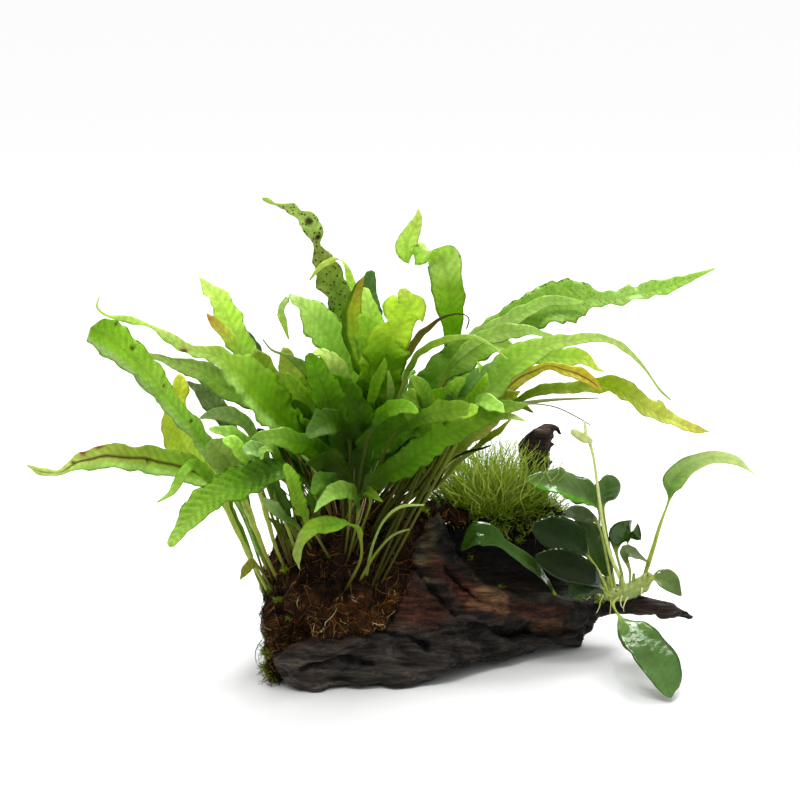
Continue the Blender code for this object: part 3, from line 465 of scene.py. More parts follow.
def strand_form(sides, lengths, radius=1.0):
    """One straight strand of unit length along Z, modelled once and then laid along many routes."""
    bpy.ops.object.select_all(action="DESELECT")
    bpy.ops.mesh.primitive_cylinder_add(vertices=sides, radius=radius, depth=1.0, end_fill_type="NOTHING",
                                        location=(0.0, 0.0, 0.5))
    form = bpy.context.active_object
    bpy.ops.object.transform_apply(location=True)
    bpy.ops.object.mode_set(mode="EDIT")
    bpy.ops.mesh.select_mode(type="EDGE")
    bpy.ops.mesh.select_all(action="DESELECT")
    bpy.ops.object.mode_set(mode="OBJECT")
    for edge in form.data.edges:
        low, high = (form.data.vertices[i].co.z for i in edge.vertices)
        edge.select = abs(high - low) > 0.5
    bpy.ops.object.mode_set(mode="EDIT")
    bpy.ops.mesh.subdivide(number_cuts=lengths - 1)
    bpy.ops.object.mode_set(mode="OBJECT")
    points = points_of(form.data)
    faces = [tuple(face.vertices) for face in form.data.polygons]
    bpy.data.objects.remove(form, do_unlink=True)
    return points, faces


def lay_strands(name, form, routes, radii, shades, tip=0.15, flatness=1.0, foot=1.0):
    """Copies of one strand, each laid along its route and tapered to its tip, in one mesh.

    Foot is the share of its shade that a strand has where it starts.
    """
    form_points, form_faces = form
    count = len(form_points)
    all_points = []
    all_shades = []
    for route, radius, shade in zip(routes, radii, shades):
        route = np.asarray(route)
        station = form_points[:, 2] * (len(route) - 1)
        low = np.minimum(station.astype(int), len(route) - 2)
        share = (station - low)[:, None]
        middle = route[low] * (1.0 - share) + route[low + 1] * share
        tangents = np.gradient(route, axis=0)
        tangents = tangents / (np.linalg.norm(tangents, axis=1)[:, None] + 1e-12)
        tangent = tangents[low] * (1.0 - share) + tangents[low + 1] * share
        guide = np.cross(tangents.mean(axis=0), (0.31, 0.73, 0.6))
        side = np.cross(tangent, guide)
        side = side / (np.linalg.norm(side, axis=1)[:, None] + 1e-12)
        other = np.cross(tangent, side)
        thick = radius * (1.0 - (1.0 - tip) * form_points[:, 2:3] ** 1.5)
        points = (middle + side * form_points[:, 0:1] * thick
                  + other * form_points[:, 1:2] * thick * flatness)
        points[:, 2] = np.maximum(points[:, 2], ABOVE_FLOOR)
        all_points.append(points)
        all_shades.append(shade * (foot + (1.0 - foot) * np.minimum(1.0, form_points[:, 2] * 1.6)))
    corners = np.array([corner for face in form_faces for corner in face])
    sizes = np.array([len(face) for face in form_faces])
    copies = len(all_points)
    mesh = bpy.data.meshes.new(name)
    mesh.vertices.add(count * copies)
    mesh.vertices.foreach_set("co", np.concatenate(all_points).ravel())
    corners = (corners[None, :] + (np.arange(copies) * count)[:, None]).ravel()
    sizes = np.tile(sizes, copies)
    mesh.loops.add(len(corners))
    mesh.loops.foreach_set("vertex_index", corners)
    mesh.polygons.add(len(sizes))
    mesh.polygons.foreach_set("loop_start", np.concatenate(((0,), np.cumsum(sizes)[:-1])))
    mesh.update(calc_edges=True)
    mesh.validate()
    paint(mesh, shade=np.concatenate(all_shades))
    made = bpy.data.objects.new(name, mesh)
    bpy.context.scene.collection.objects.link(made)
    return made


def surface_of(piece):
    mesh = piece.data
    return BVHTree.FromPolygons([vert.co for vert in mesh.vertices],
                                [tuple(face.vertices) for face in mesh.polygons])


def creeping_route(surface, start, heading, steps, step, lift, wander, rng):
    """A route that creeps over a surface and strays as it goes."""
    route = []
    place = start
    for index in range(steps):
        near, normal, _, _ = surface.find_nearest(place)
        height = lift * (0.3 + 0.7 * rng.random())
        route.append(near + normal * height)
        heading = heading - normal * heading.dot(normal)
        stray = Vector((rng.uniform(-1, 1), rng.uniform(-1, 1), rng.uniform(-1, 1)))
        heading = (heading.normalized() + stray * wander).normalized()
        place = near + heading * step
    return route


mat_forms = [add_ball(MAT_MIDDLE, MAT_RADII, 5)]
mat_forms += add_limb((285, 600, -16, 13, 1.0), (288, 640, -30, 12, 1.0), (279, 664, -34, 8, 0.9),
                      (272, 678, -36, 4, 1.0))
mat_forms += add_limb((310, 600, -26, 14, 1.0), (330, 630, -38, 11, 0.8), (375, 622, -34, 9, 0.8))
mat_forms += add_limb((395, 535, 2, 14, 0.9), (424, 514, 12, 8, 0.9), (444, 512, 18, 6, 0.8), (462, 514, 24, 5, 0.8))
root_mat = joined("root_mat_dome", mat_forms)
one_skin(root_mat, MAT_VOXEL)
mat_points = points_of(root_mat.data)
mat_push = (noise_at(mat_points, MAT_LUMP_SPACING) * MAT_LUMP
            + noise_at(mat_points, MAT_LUMP_SPACING / 3.0) * MAT_LUMP * 0.6 - 1.0 * MM)
mat_points = mat_points + normals_of(root_mat.data) * mat_push[:, None]
mat_points[:, 2] = np.maximum(mat_points[:, 2], 1.0 * MM)
move_points(root_mat.data, mat_points)
mat_across, mat_down = seen_at(mat_points)
mat_rust = np.exp(-((mat_across - RUST_PLACE[0]) / RUST_REACH[0]) ** 2
                  - ((mat_down - RUST_PLACE[1]) / RUST_REACH[1]) ** 2)
# Painted shade: the felt is painted darker in the dips between its lumps and lighter on their tops; the rust and the
# fine noise are its own colour.
paint(root_mat.data, shade=(0.15 + 0.22 * mat_push / MAT_LUMP + 0.16 * noise_at(mat_points, 3.0 * MM)
                            + 0.3 * mat_rust))

rng = random.Random(7)
mat_surface = surface_of(root_mat)
mat_starts = [Vector(mat_points[i]) for i in
              (rng.randrange(len(mat_points)) for _ in range(ROOT_COUNT))]
root_routes = []
root_radii = []
root_shades = []
for start in mat_starts:
    if start.z < 2.5 * MM:
        continue
    heading = Vector((rng.uniform(-1, 1), rng.uniform(-1, 1), rng.uniform(-1.4, 0.5)))
    route = creeping_route(mat_surface, start, heading, rng.randint(4, 8), ROOT_STEP, ROOT_LIFT, 0.55, rng)
    route = [Vector((p.x, p.y, max(p.z, 0.8 * MM))) for p in route]
    root_routes.append(route)
    root_radii.append(ROOT_RADIUS * rng.uniform(0.7, 2.2))
    across, down = seen_at(np.array([start]))
    rusty = math.exp(-((across[0] - RUST_PLACE[0]) / RUST_REACH[0]) ** 2
                     - ((down[0] - RUST_PLACE[1]) / RUST_REACH[1]) ** 2)
    root_shades.append(min(0.9, 0.04 + rng.random() ** 3.0 * 0.66 + rusty * rng.uniform(0.0, 0.28)))
for _ in range(OLD_STALK_COUNT):
    across = rng.uniform(285, 430)
    depth = rng.uniform(-30, 35)
    foot = stalk_foot(sight(across, 500, depth))
    top = sight(across + (across - 360) * 0.4 + rng.uniform(-14, 14), rng.uniform(445, 490), depth * 1.3)
    bow = Vector((rng.uniform(-3, 3), rng.uniform(-3, 3), 0.0)) * MM
    root_routes.append([foot.lerp(top, share) + bow * math.sin(share * math.pi) - ORIGIN_SHIFT
                        for share in (0.0, 0.25, 0.5, 0.75, 1.0)])
    root_radii.append(rng.uniform(0.4, 0.6) * MM)
    root_shades.append(rng.uniform(0.3, 0.8))
for across, down, depth in PALE_SCRAPS:
    for _ in range(6):
        start = sight(across + rng.uniform(-9, 9), down + rng.uniform(-3, 3), depth) - ORIGIN_SHIFT
        heading = Vector((rng.uniform(-1, 1), rng.uniform(-0.5, 0.5), rng.uniform(-0.7, 0.5)))
        root_routes.append(creeping_route(mat_surface, start, heading, 4, 1.2 * MM, 2.4 * MM, 0.7, rng))
        root_radii.append(rng.uniform(0.15, 0.34) * MM)
        root_shades.append(rng.uniform(0.55, 0.85))
for route in STRAY_ROOTS:
    root_routes.append([sight(*place) - ORIGIN_SHIFT for place in route])
    root_radii.append(0.32 * MM)
    root_shades.append(rng.uniform(0.12, 0.4))
for _ in range(HANGING_ROOT_COUNT):
    down = rng.uniform(585, 688)
    across = 272 - 8 * math.sin((down - 585) / 33.0) * rng.random() + rng.uniform(-3, 6)
    depth = -20 - (down - 585) * 0.17 + rng.uniform(-7, 7)
    route = []
    for _ in range(6):
        route.append(sight(across, down, depth) - ORIGIN_SHIFT)
        across += rng.uniform(-5.0, 4.6)
        down += rng.uniform(-2.0, 7.0)
        depth += rng.uniform(-3.0, 3.0)
    root_routes.append(route)
    root_radii.append(rng.uniform(0.12, 0.3) * MM)
    root_shades.append(rng.uniform(0.1, 0.6))
roots = lay_strands("roots", strand_form(3, 5), root_routes, root_radii, root_shades)

# Fern root felt: matted live roots with a rusty fuzz. The eye sees a deep dark brown mass, with single
# roots in rust, ochre and, where old ones are stripped, cream.
root_felt, tree = new_material("fern root felt, wet")
shade = add_node(tree, "ShaderNodeAttribute", {"attribute_name": "shade"})
place = add_node(tree, "ShaderNodeTexCoord").outputs["Object"]
fuzz = add_node(tree, "ShaderNodeTexNoise", Vector=place, Scale=1.0 / (1.8 * MM), Detail=5.0, Roughness=0.7)
mixed = add_node(tree, "ShaderNodeMath", {"operation": "MULTIPLY_ADD"}, _0=fuzz.outputs[0], _1=0.22,
                 _2=shade.outputs["Fac"])
brown = add_node(tree, "ShaderNodeValToRGB", Fac=mixed.outputs[0])
set_ramp(brown, (0.08, "#080504"), (0.26, "#23170b"), (0.42, "#452a13"), (0.6, "#70461d"),
         (0.8, "#9c7238"), (0.97, "#dccba2"))
bump = add_node(tree, "ShaderNodeBump", Height=fuzz.outputs[0], Strength=0.8, Distance=1.0 * MM)
shader = add_node(tree, "ShaderNodeBsdfPrincipled", Base_Color=brown.outputs[0], Roughness=0.75,
                  Specular_IOR_Level=0.12, Normal=bump.outputs[0])
add_node(tree, "ShaderNodeOutputMaterial", Surface=shader.outputs[0])
root_mat = joined("fern_roots_and_felt", [root_mat, roots])
ready(root_mat, root_felt)
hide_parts("fern_root_mat")


# The fern's leaves: strap blades of java fern, each on its own wiry stalk out of the mat. They are thin,
# leathery and a little see-through, with a proud rib, wavy edges, and here and there a pale, spotted,
# torn or yellowing part. Each is one piece, and grows where its stalk stands in the mat.
DEPTH_SPREAD = 0.8
FRONT_REACH = 120.0
STALK_WIDTH = 2.0 * MM
STALK_THICKNESS = 1.9 * MM
TIP_THICKNESS = 0.6 * MM
LEAST_WIDTH = 0.5 * MM
BLADE_THICKNESS = 0.42 * MM
BLADE_FOLD = 0.4
BLADE_FACE = (0.0, -0.8, 0.6)
ROW_SPACING = 1.3 * MM
HALF_RING = 10                  # faces across one side of a blade
BLADE_BEGINS = 3.4 * MM         # a route this wide is blade, and less is stalk
RUFFLE_LENGTH = 13.0 * MM
RIB_HALF_WIDTH = 0.42 * MM
STALK_SHADE = "#8f9c44"
FOOT_SHADE = "#4a3a1a"
STALK_KEPT = 0.8                # a stalk shows this share of its solid's width
LOBE_LENGTH = 17.0 * MM
TWIST = 18.0                    # degrees either way
SWAY = 0.7 * MM
VEIN_SPACING = 4.4 * MM
SAP = (1.0, 1.0, 0.7)           # what living tissue lets through of red, green and blue


def smooth_route(rows, steps):
    """Rows along a Catmull-Rom curve, close together and then spaced evenly."""
    rows = np.asarray(rows)
    padded = np.concatenate((rows[:1], rows, rows[-1:]))
    made = []
    for index in range(len(rows) - 1):
        before, start, end, after = padded[index:index + 4]
        t = (np.arange(steps) / steps)[:, None]
        made.append(0.5 * (2.0 * start + (end - before) * t
                           + (2.0 * before - 5.0 * start + 4.0 * end - after) * t ** 2
                           + (3.0 * start - before - 3.0 * end + after) * t ** 3))
    made = np.concatenate(made + [rows[-1:]])
    lengths = np.linalg.norm(np.diff(made[:, :3], axis=0), axis=1)
    reached = np.concatenate(((0.0,), np.cumsum(lengths)))
    stations = np.linspace(0.0, reached[-1], max(8, int(reached[-1] / ROW_SPACING)))
    even = np.stack([np.interp(stations, reached, made[:, i]) for i in range(made.shape[1])], axis=1)
    return even, stations


def spread_out(depth, share, spread):
    reached = depth * (1.0 + spread * share)
    if reached < 0.0:
        reached = FRONT_REACH * math.tanh(reached / FRONT_REACH)
    return reached


def noise_along(stations, length, seed):
    """Smooth noise along a line, from -1 to 1."""
    return np.array([noise.noise(Vector((station / length, seed * 3.7, seed * 1.3)))
                     for station in stations])


def grow_leaf(name, route, seed, shades, foot=None, spread=DEPTH_SPREAD, face=BLADE_FACE, fold=BLADE_FOLD,
              ruffle=1.0, left=None, right=None, rib=None, spots=0.0, ribs=0.0, bumps=0.0, scars=(),
              stalk=STALK_SHADE, foot_shade=FOOT_SHADE, edge=0.19, veins=0.14, twist=1.2,
              sap=SAP, faced=0.0, half_ring=HALF_RING):
    """One stalk and blade, rolled from a grid. Route rows: pixel across and down, depth, width in mm, roll.

    Ruffle is the wave of its edges in mm. Left and right are colours painted over its two edge halves, as
    one looks from foot to tip: painted light and shade, where one half of the folded blade faces the light
    and the other turns from it. A scar is a place along and across, a size in mm and a shade. Faced is how
    far each part of the blade turns to its face by itself, from 0 to 1.
    """
    rows = []
    for index, (across, down, depth, width, *roll) in enumerate(route):
        point = sight(across, down, spread_out(depth, index / (len(route) - 1), spread))
        rows.append((*point, width * MM, roll[0] if roll else 0.0))
    start = stalk_foot(Vector(rows[0][:3])) if foot is None else sight(*foot)
    rows.insert(0, (*start, STALK_WIDTH, rows[0][4]))
    rows, stations = smooth_route(rows, 24)
    places = rows[:, :3] - np.array(ORIGIN_SHIFT)
    chord = Vector(places[-1] - places[0])
    across_blade = np.array(chord.cross(Vector(face)).normalized())
    tangent = np.gradient(places, axis=0)
    tangent = tangent / np.linalg.norm(tangent, axis=1)[:, None]
    across_blade = across_blade * (1.0 - faced) + np.cross(tangent, np.array(face)) * faced
    side = across_blade - tangent * (tangent * across_blade).sum(axis=1)[:, None]
    side = side / np.linalg.norm(side, axis=1)[:, None]
    half_width = np.maximum(LEAST_WIDTH, rows[:, 3]) / 2.0
    bladed = between(STALK_WIDTH / 2.0 * 1.1, BLADE_BEGINS / 2.0 * 1.15, half_width)
    half_width = half_width * (STALK_KEPT + (1.0 - STALK_KEPT) * bladed)
    half_width = half_width * (1.0 + edge * bladed * noise_along(stations, LOBE_LENGTH, seed + 17))
    roll = rows[:, 4] + TWIST * twist * bladed * noise_along(stations, LOBE_LENGTH * 1.4, seed + 27)
    roll = np.radians(roll)[:, None]
    side = side * np.cos(roll) + np.cross(tangent, side) * np.sin(roll)
    normal = np.cross(side, tangent)

    sway = SWAY * twist * bladed
    places = places + side * (sway * noise_along(stations, 9.0 * MM, seed + 37))[:, None]
    places = places + normal * (2.0 * sway * noise_along(stations, 15.0 * MM, seed + 47))[:, None]

    length = stations[-1]
    thick = STALK_THICKNESS + (TIP_THICKNESS - STALK_THICKNESS) * stations / length
    thick = np.minimum(thick, half_width * 2.0 + 0.1 * MM)

    bpy.ops.object.select_all(action="DESELECT")
    bpy.ops.mesh.primitive_grid_add(x_subdivisions=half_ring * 2, y_subdivisions=len(rows) - 1, size=2.0)
    leaf = bpy.context.active_object
    leaf.name = name
    mesh = leaf.data
    grid = points_of(mesh)
    column = np.rint((grid[:, 0] + 1.0) * half_ring).astype(int)
    row = np.rint((grid[:, 1] + 1.0) / 2.0 * (len(rows) - 1)).astype(int)
    upper = column <= half_ring
    u = np.where(upper, -1.0 + 2.0 * column / half_ring, 1.0 - 2.0 * (column - half_ring) / half_ring)

    wide = half_width[row]
    blade = bladed[row]
    edges = np.where(u < 0.0, noise_along(stations, 7.0 * MM, seed)[row],
                     noise_along(stations, 7.0 * MM, seed + 40)[row])
    nibbles = np.where(u < 0.0, noise_along(stations, 2.4 * MM, seed + 80)[row],
                       noise_along(stations, 2.4 * MM, seed + 120)[row])
    out = u * wide * (1.0 + blade * np.abs(u) * (edges * edge * 1.7 + nibbles * edge * 0.45))
    waves = np.where(u < 0.0, noise_along(stations, RUFFLE_LENGTH, seed + 160)[row],
                     noise_along(stations, RUFFLE_LENGTH, seed + 200)[row])
    fine_waves = np.where(u < 0.0, noise_along(stations, RUFFLE_LENGTH / 2.3, seed + 240)[row],
                          noise_along(stations, RUFFLE_LENGTH / 2.3, seed + 280)[row])
    room = np.clip(wide / (7.0 * MM), 0.0, 1.2)
    rise = fold * np.maximum(0.0, wide - STALK_WIDTH) * np.abs(u) ** 1.3
    rise = rise + blade * room * ruffle * MM * np.abs(u) ** 1.6 * (waves * 2.6 + fine_waves * 1.9)
    slant = stations[row] - np.abs(u) * wide * 0.9
    cockle = np.sin(slant / VEIN_SPACING * 2.0 * math.pi + noise_along(stations, 20.0 * MM, seed + 9)[row] * 4.0)
    rise = rise + blade * room * (0.3 + ribs * 0.5) * MM * cockle * np.sin(np.abs(u) * math.pi)
    if bumps:
        dots = np.sin(stations[row] / (3.0 * MM) * 2 * math.pi) * np.sin((np.abs(u) * wide) / (3.0 * MM) * 2 * math.pi)
        rise = rise + blade * bumps * 0.45 * MM * np.maximum(0.0, dots)
    round_half = thick[row] / 2.0 * np.sqrt(np.maximum(0.0, 1.0 - u ** 2))
    rib_half = thick[row] / 2.0 * np.exp(-(out / RIB_HALF_WIDTH / 1.3) ** 2)
    flat_half = BLADE_THICKNESS / 2.0 * np.sqrt(np.maximum(0.0, 1.0 - np.abs(u) ** 6))
    blade_half = np.maximum(flat_half, rib_half * np.where(upper, 0.35, 0.9))
    half = round_half * (1.0 - blade) + blade_half * blade
    half = np.where(np.abs(u) > 0.999, 0.0, half)
    closes = np.where((row == 0) | (row == len(rows) - 1), 0.0, 1.0)
    points = (places[row] + side[row] * (out * closes)[:, None]
              + normal[row] * ((rise + np.where(upper, half, -half)) * closes)[:, None])
    points[:, 2] = np.maximum(points[:, 2], 0.3 * MM)
    move_points(mesh, points)

    begins = stations[np.argmax(half_width * 2.0 > BLADE_BEGINS)] / length
    share = stations / length
    blade_share = np.clip((share - begins) / max(0.01, 1.0 - begins), 0.0, 1.0)
    tones = np.array([linear(shade) for shade in shades])
    ends = np.linspace(0.0, 1.0, len(tones))
    colours = np.stack([np.interp(blade_share, ends, tones[:, i]) for i in range(3)], axis=1)
    low_share = np.clip(share / max(0.02, begins), 0.0, 1.0)[:, None]
    stem = np.array(linear(foot_shade)) * (1 - low_share) + np.array(linear(stalk)) * low_share
    in_blade = between(begins - 0.06, begins + 0.03, share)[:, None]
    colours = stem * (1.0 - in_blade) + colours * in_blade
    colour = colours[row]
    # Painted light and shade over one half of the blade.
    for shade, towards in ((left, -1.0), (right, 1.0)):
        if shade:
            reach = (between(0.4, 0.62, u * towards + 0.2 * edges) * blade)[:, None]
            colour = colour * (1.0 - reach) + np.array(linear(shade)) * reach
    lines = 1.0 + veins * blade * cockle * np.sin(np.clip(np.abs(u), 0, 1) * math.pi)
    mottle = noise_along(stations + np.arange(len(stations)) * 0.0, 9.0 * MM, seed + 320)[row]
    cross = np.array([noise.noise(Vector((a, b, seed))) for a, b in
                      zip((stations[row] / (5.0 * MM)).tolist(), (out / (3.0 * MM)).tolist())])
    colour = colour * (lines * (1.0 + 0.1 * mottle + 0.1 * cross * blade))[:, None]
    rib_shade = np.array(linear(rib)) if rib else None
    on_rib = (np.exp(-(out / RIB_HALF_WIDTH) ** 2) * between(1.0 * MM, 3.0 * MM, wide))[:, None]
    colour = colour * (1.0 - on_rib) + (colour * 0.86 if rib_shade is None else rib_shade) * on_rib
    for along, across, size, shade in scars:
        away = np.hypot(stations[row] - along * length, out - across * wide) / (size * MM)
        away = away * (1.0 + 0.5 * cross)
        reach = (1.0 - between(0.6, 1.25, away))[:, None]
        colour = colour * (1.0 - reach) + np.array(linear(shade)) * reach
    colour = np.clip(colour * np.array(sap), 0.0, 1.0)
    paint(mesh, red=colour[:, 0], green=colour[:, 1], blue=colour[:, 2],
          speckle=np.full(len(u), spots) * blade)
    weld(leaf)
    bpy.ops.object.shade_smooth()
    return leaf


# Java fern blade: living leaf under a wet, slightly waxy skin. The eye sees a satin green that glows
# yellower where light comes through it, netted with fine veins, and peppered with dark specks when old.
fern_blade, tree = new_material("java fern leaf, wet")
channels = [add_node(tree, "ShaderNodeAttribute", {"attribute_name": name}).outputs["Fac"]
            for name in ("red", "green", "blue")]
leaf_colour = add_node(tree, "ShaderNodeCombineColor", Red=channels[0], Green=channels[1], Blue=channels[2])
place = add_node(tree, "ShaderNodeTexCoord").outputs["Object"]
clouds = add_node(tree, "ShaderNodeTexNoise", Vector=place, Scale=1.0 / (3.5 * MM), Detail=5.0, Roughness=0.6)
net = add_node(tree, "ShaderNodeTexVoronoi", {"feature": "DISTANCE_TO_EDGE"}, Vector=place,
               Scale=1.0 / (1.7 * MM))
specks = add_node(tree, "ShaderNodeTexVoronoi", Vector=place, Scale=1.0 / (2.1 * MM))
speck_mask = add_node(tree, "ShaderNodeMapRange", Value=specks.outputs["Distance"], From_Min=0.18,
                      From_Max=0.36, To_Min=1.0, To_Max=0.0)
speckle = add_node(tree, "ShaderNodeAttribute", {"attribute_name": "speckle"})
speck_share = add_node(tree, "ShaderNodeMath", {"operation": "MULTIPLY"}, _0=speck_mask.outputs[0],
                       _1=speckle.outputs["Fac"])
shading = add_node(tree, "ShaderNodeMapRange", Value=clouds.outputs[0], From_Min=0.3, From_Max=0.7,
                   To_Min=0.9, To_Max=1.1)
veined = add_node(tree, "ShaderNodeMapRange", Value=net.outputs[0], From_Min=0.0, From_Max=0.12,
                  To_Min=0.9, To_Max=1.0)
strength = add_node(tree, "ShaderNodeMath", {"operation": "MULTIPLY"}, _0=shading.outputs[0],
                    _1=veined.outputs[0])
toned = add_node(tree, "ShaderNodeMix", {"data_type": "RGBA", "blend_type": "MULTIPLY"}, _0=1.0,
                 _6=leaf_colour.outputs[0], _7=strength.outputs[0])
specked = add_node(tree, "ShaderNodeMix", {"data_type": "RGBA"}, _0=speck_share.outputs[0],
                   _6=toned.outputs[2], _7=(*linear("#1f2410"), 1.0))
height = add_node(tree, "ShaderNodeMath", {"operation": "MULTIPLY_ADD"}, _0=net.outputs[0], _1=0.9,
                  _2=clouds.outputs[0])
bump = add_node(tree, "ShaderNodeBump", Height=height.outputs[0], Strength=0.5, Distance=0.7 * MM)
skin = add_node(tree, "ShaderNodeBsdfPrincipled", Base_Color=specked.outputs[2], Roughness=0.32,
                Specular_IOR_Level=0.26, Specular_Tint=(0.85, 1.0, 0.4, 1.0), Normal=bump.outputs[0])
through = add_node(tree, "ShaderNodeMix", {"data_type": "RGBA", "blend_type": "MULTIPLY"}, _0=1.0,
                   _6=specked.outputs[2], _7=(1.12, 1.12, 0.55, 1.0))
glow = add_node(tree, "ShaderNodeBsdfTranslucent", Color=through.outputs[2])
both = add_node(tree, "ShaderNodeMixShader", Fac=0.42, _1=skin.outputs[0], _2=glow.outputs[0])
add_node(tree, "ShaderNodeOutputMaterial", Surface=both.outputs[0])
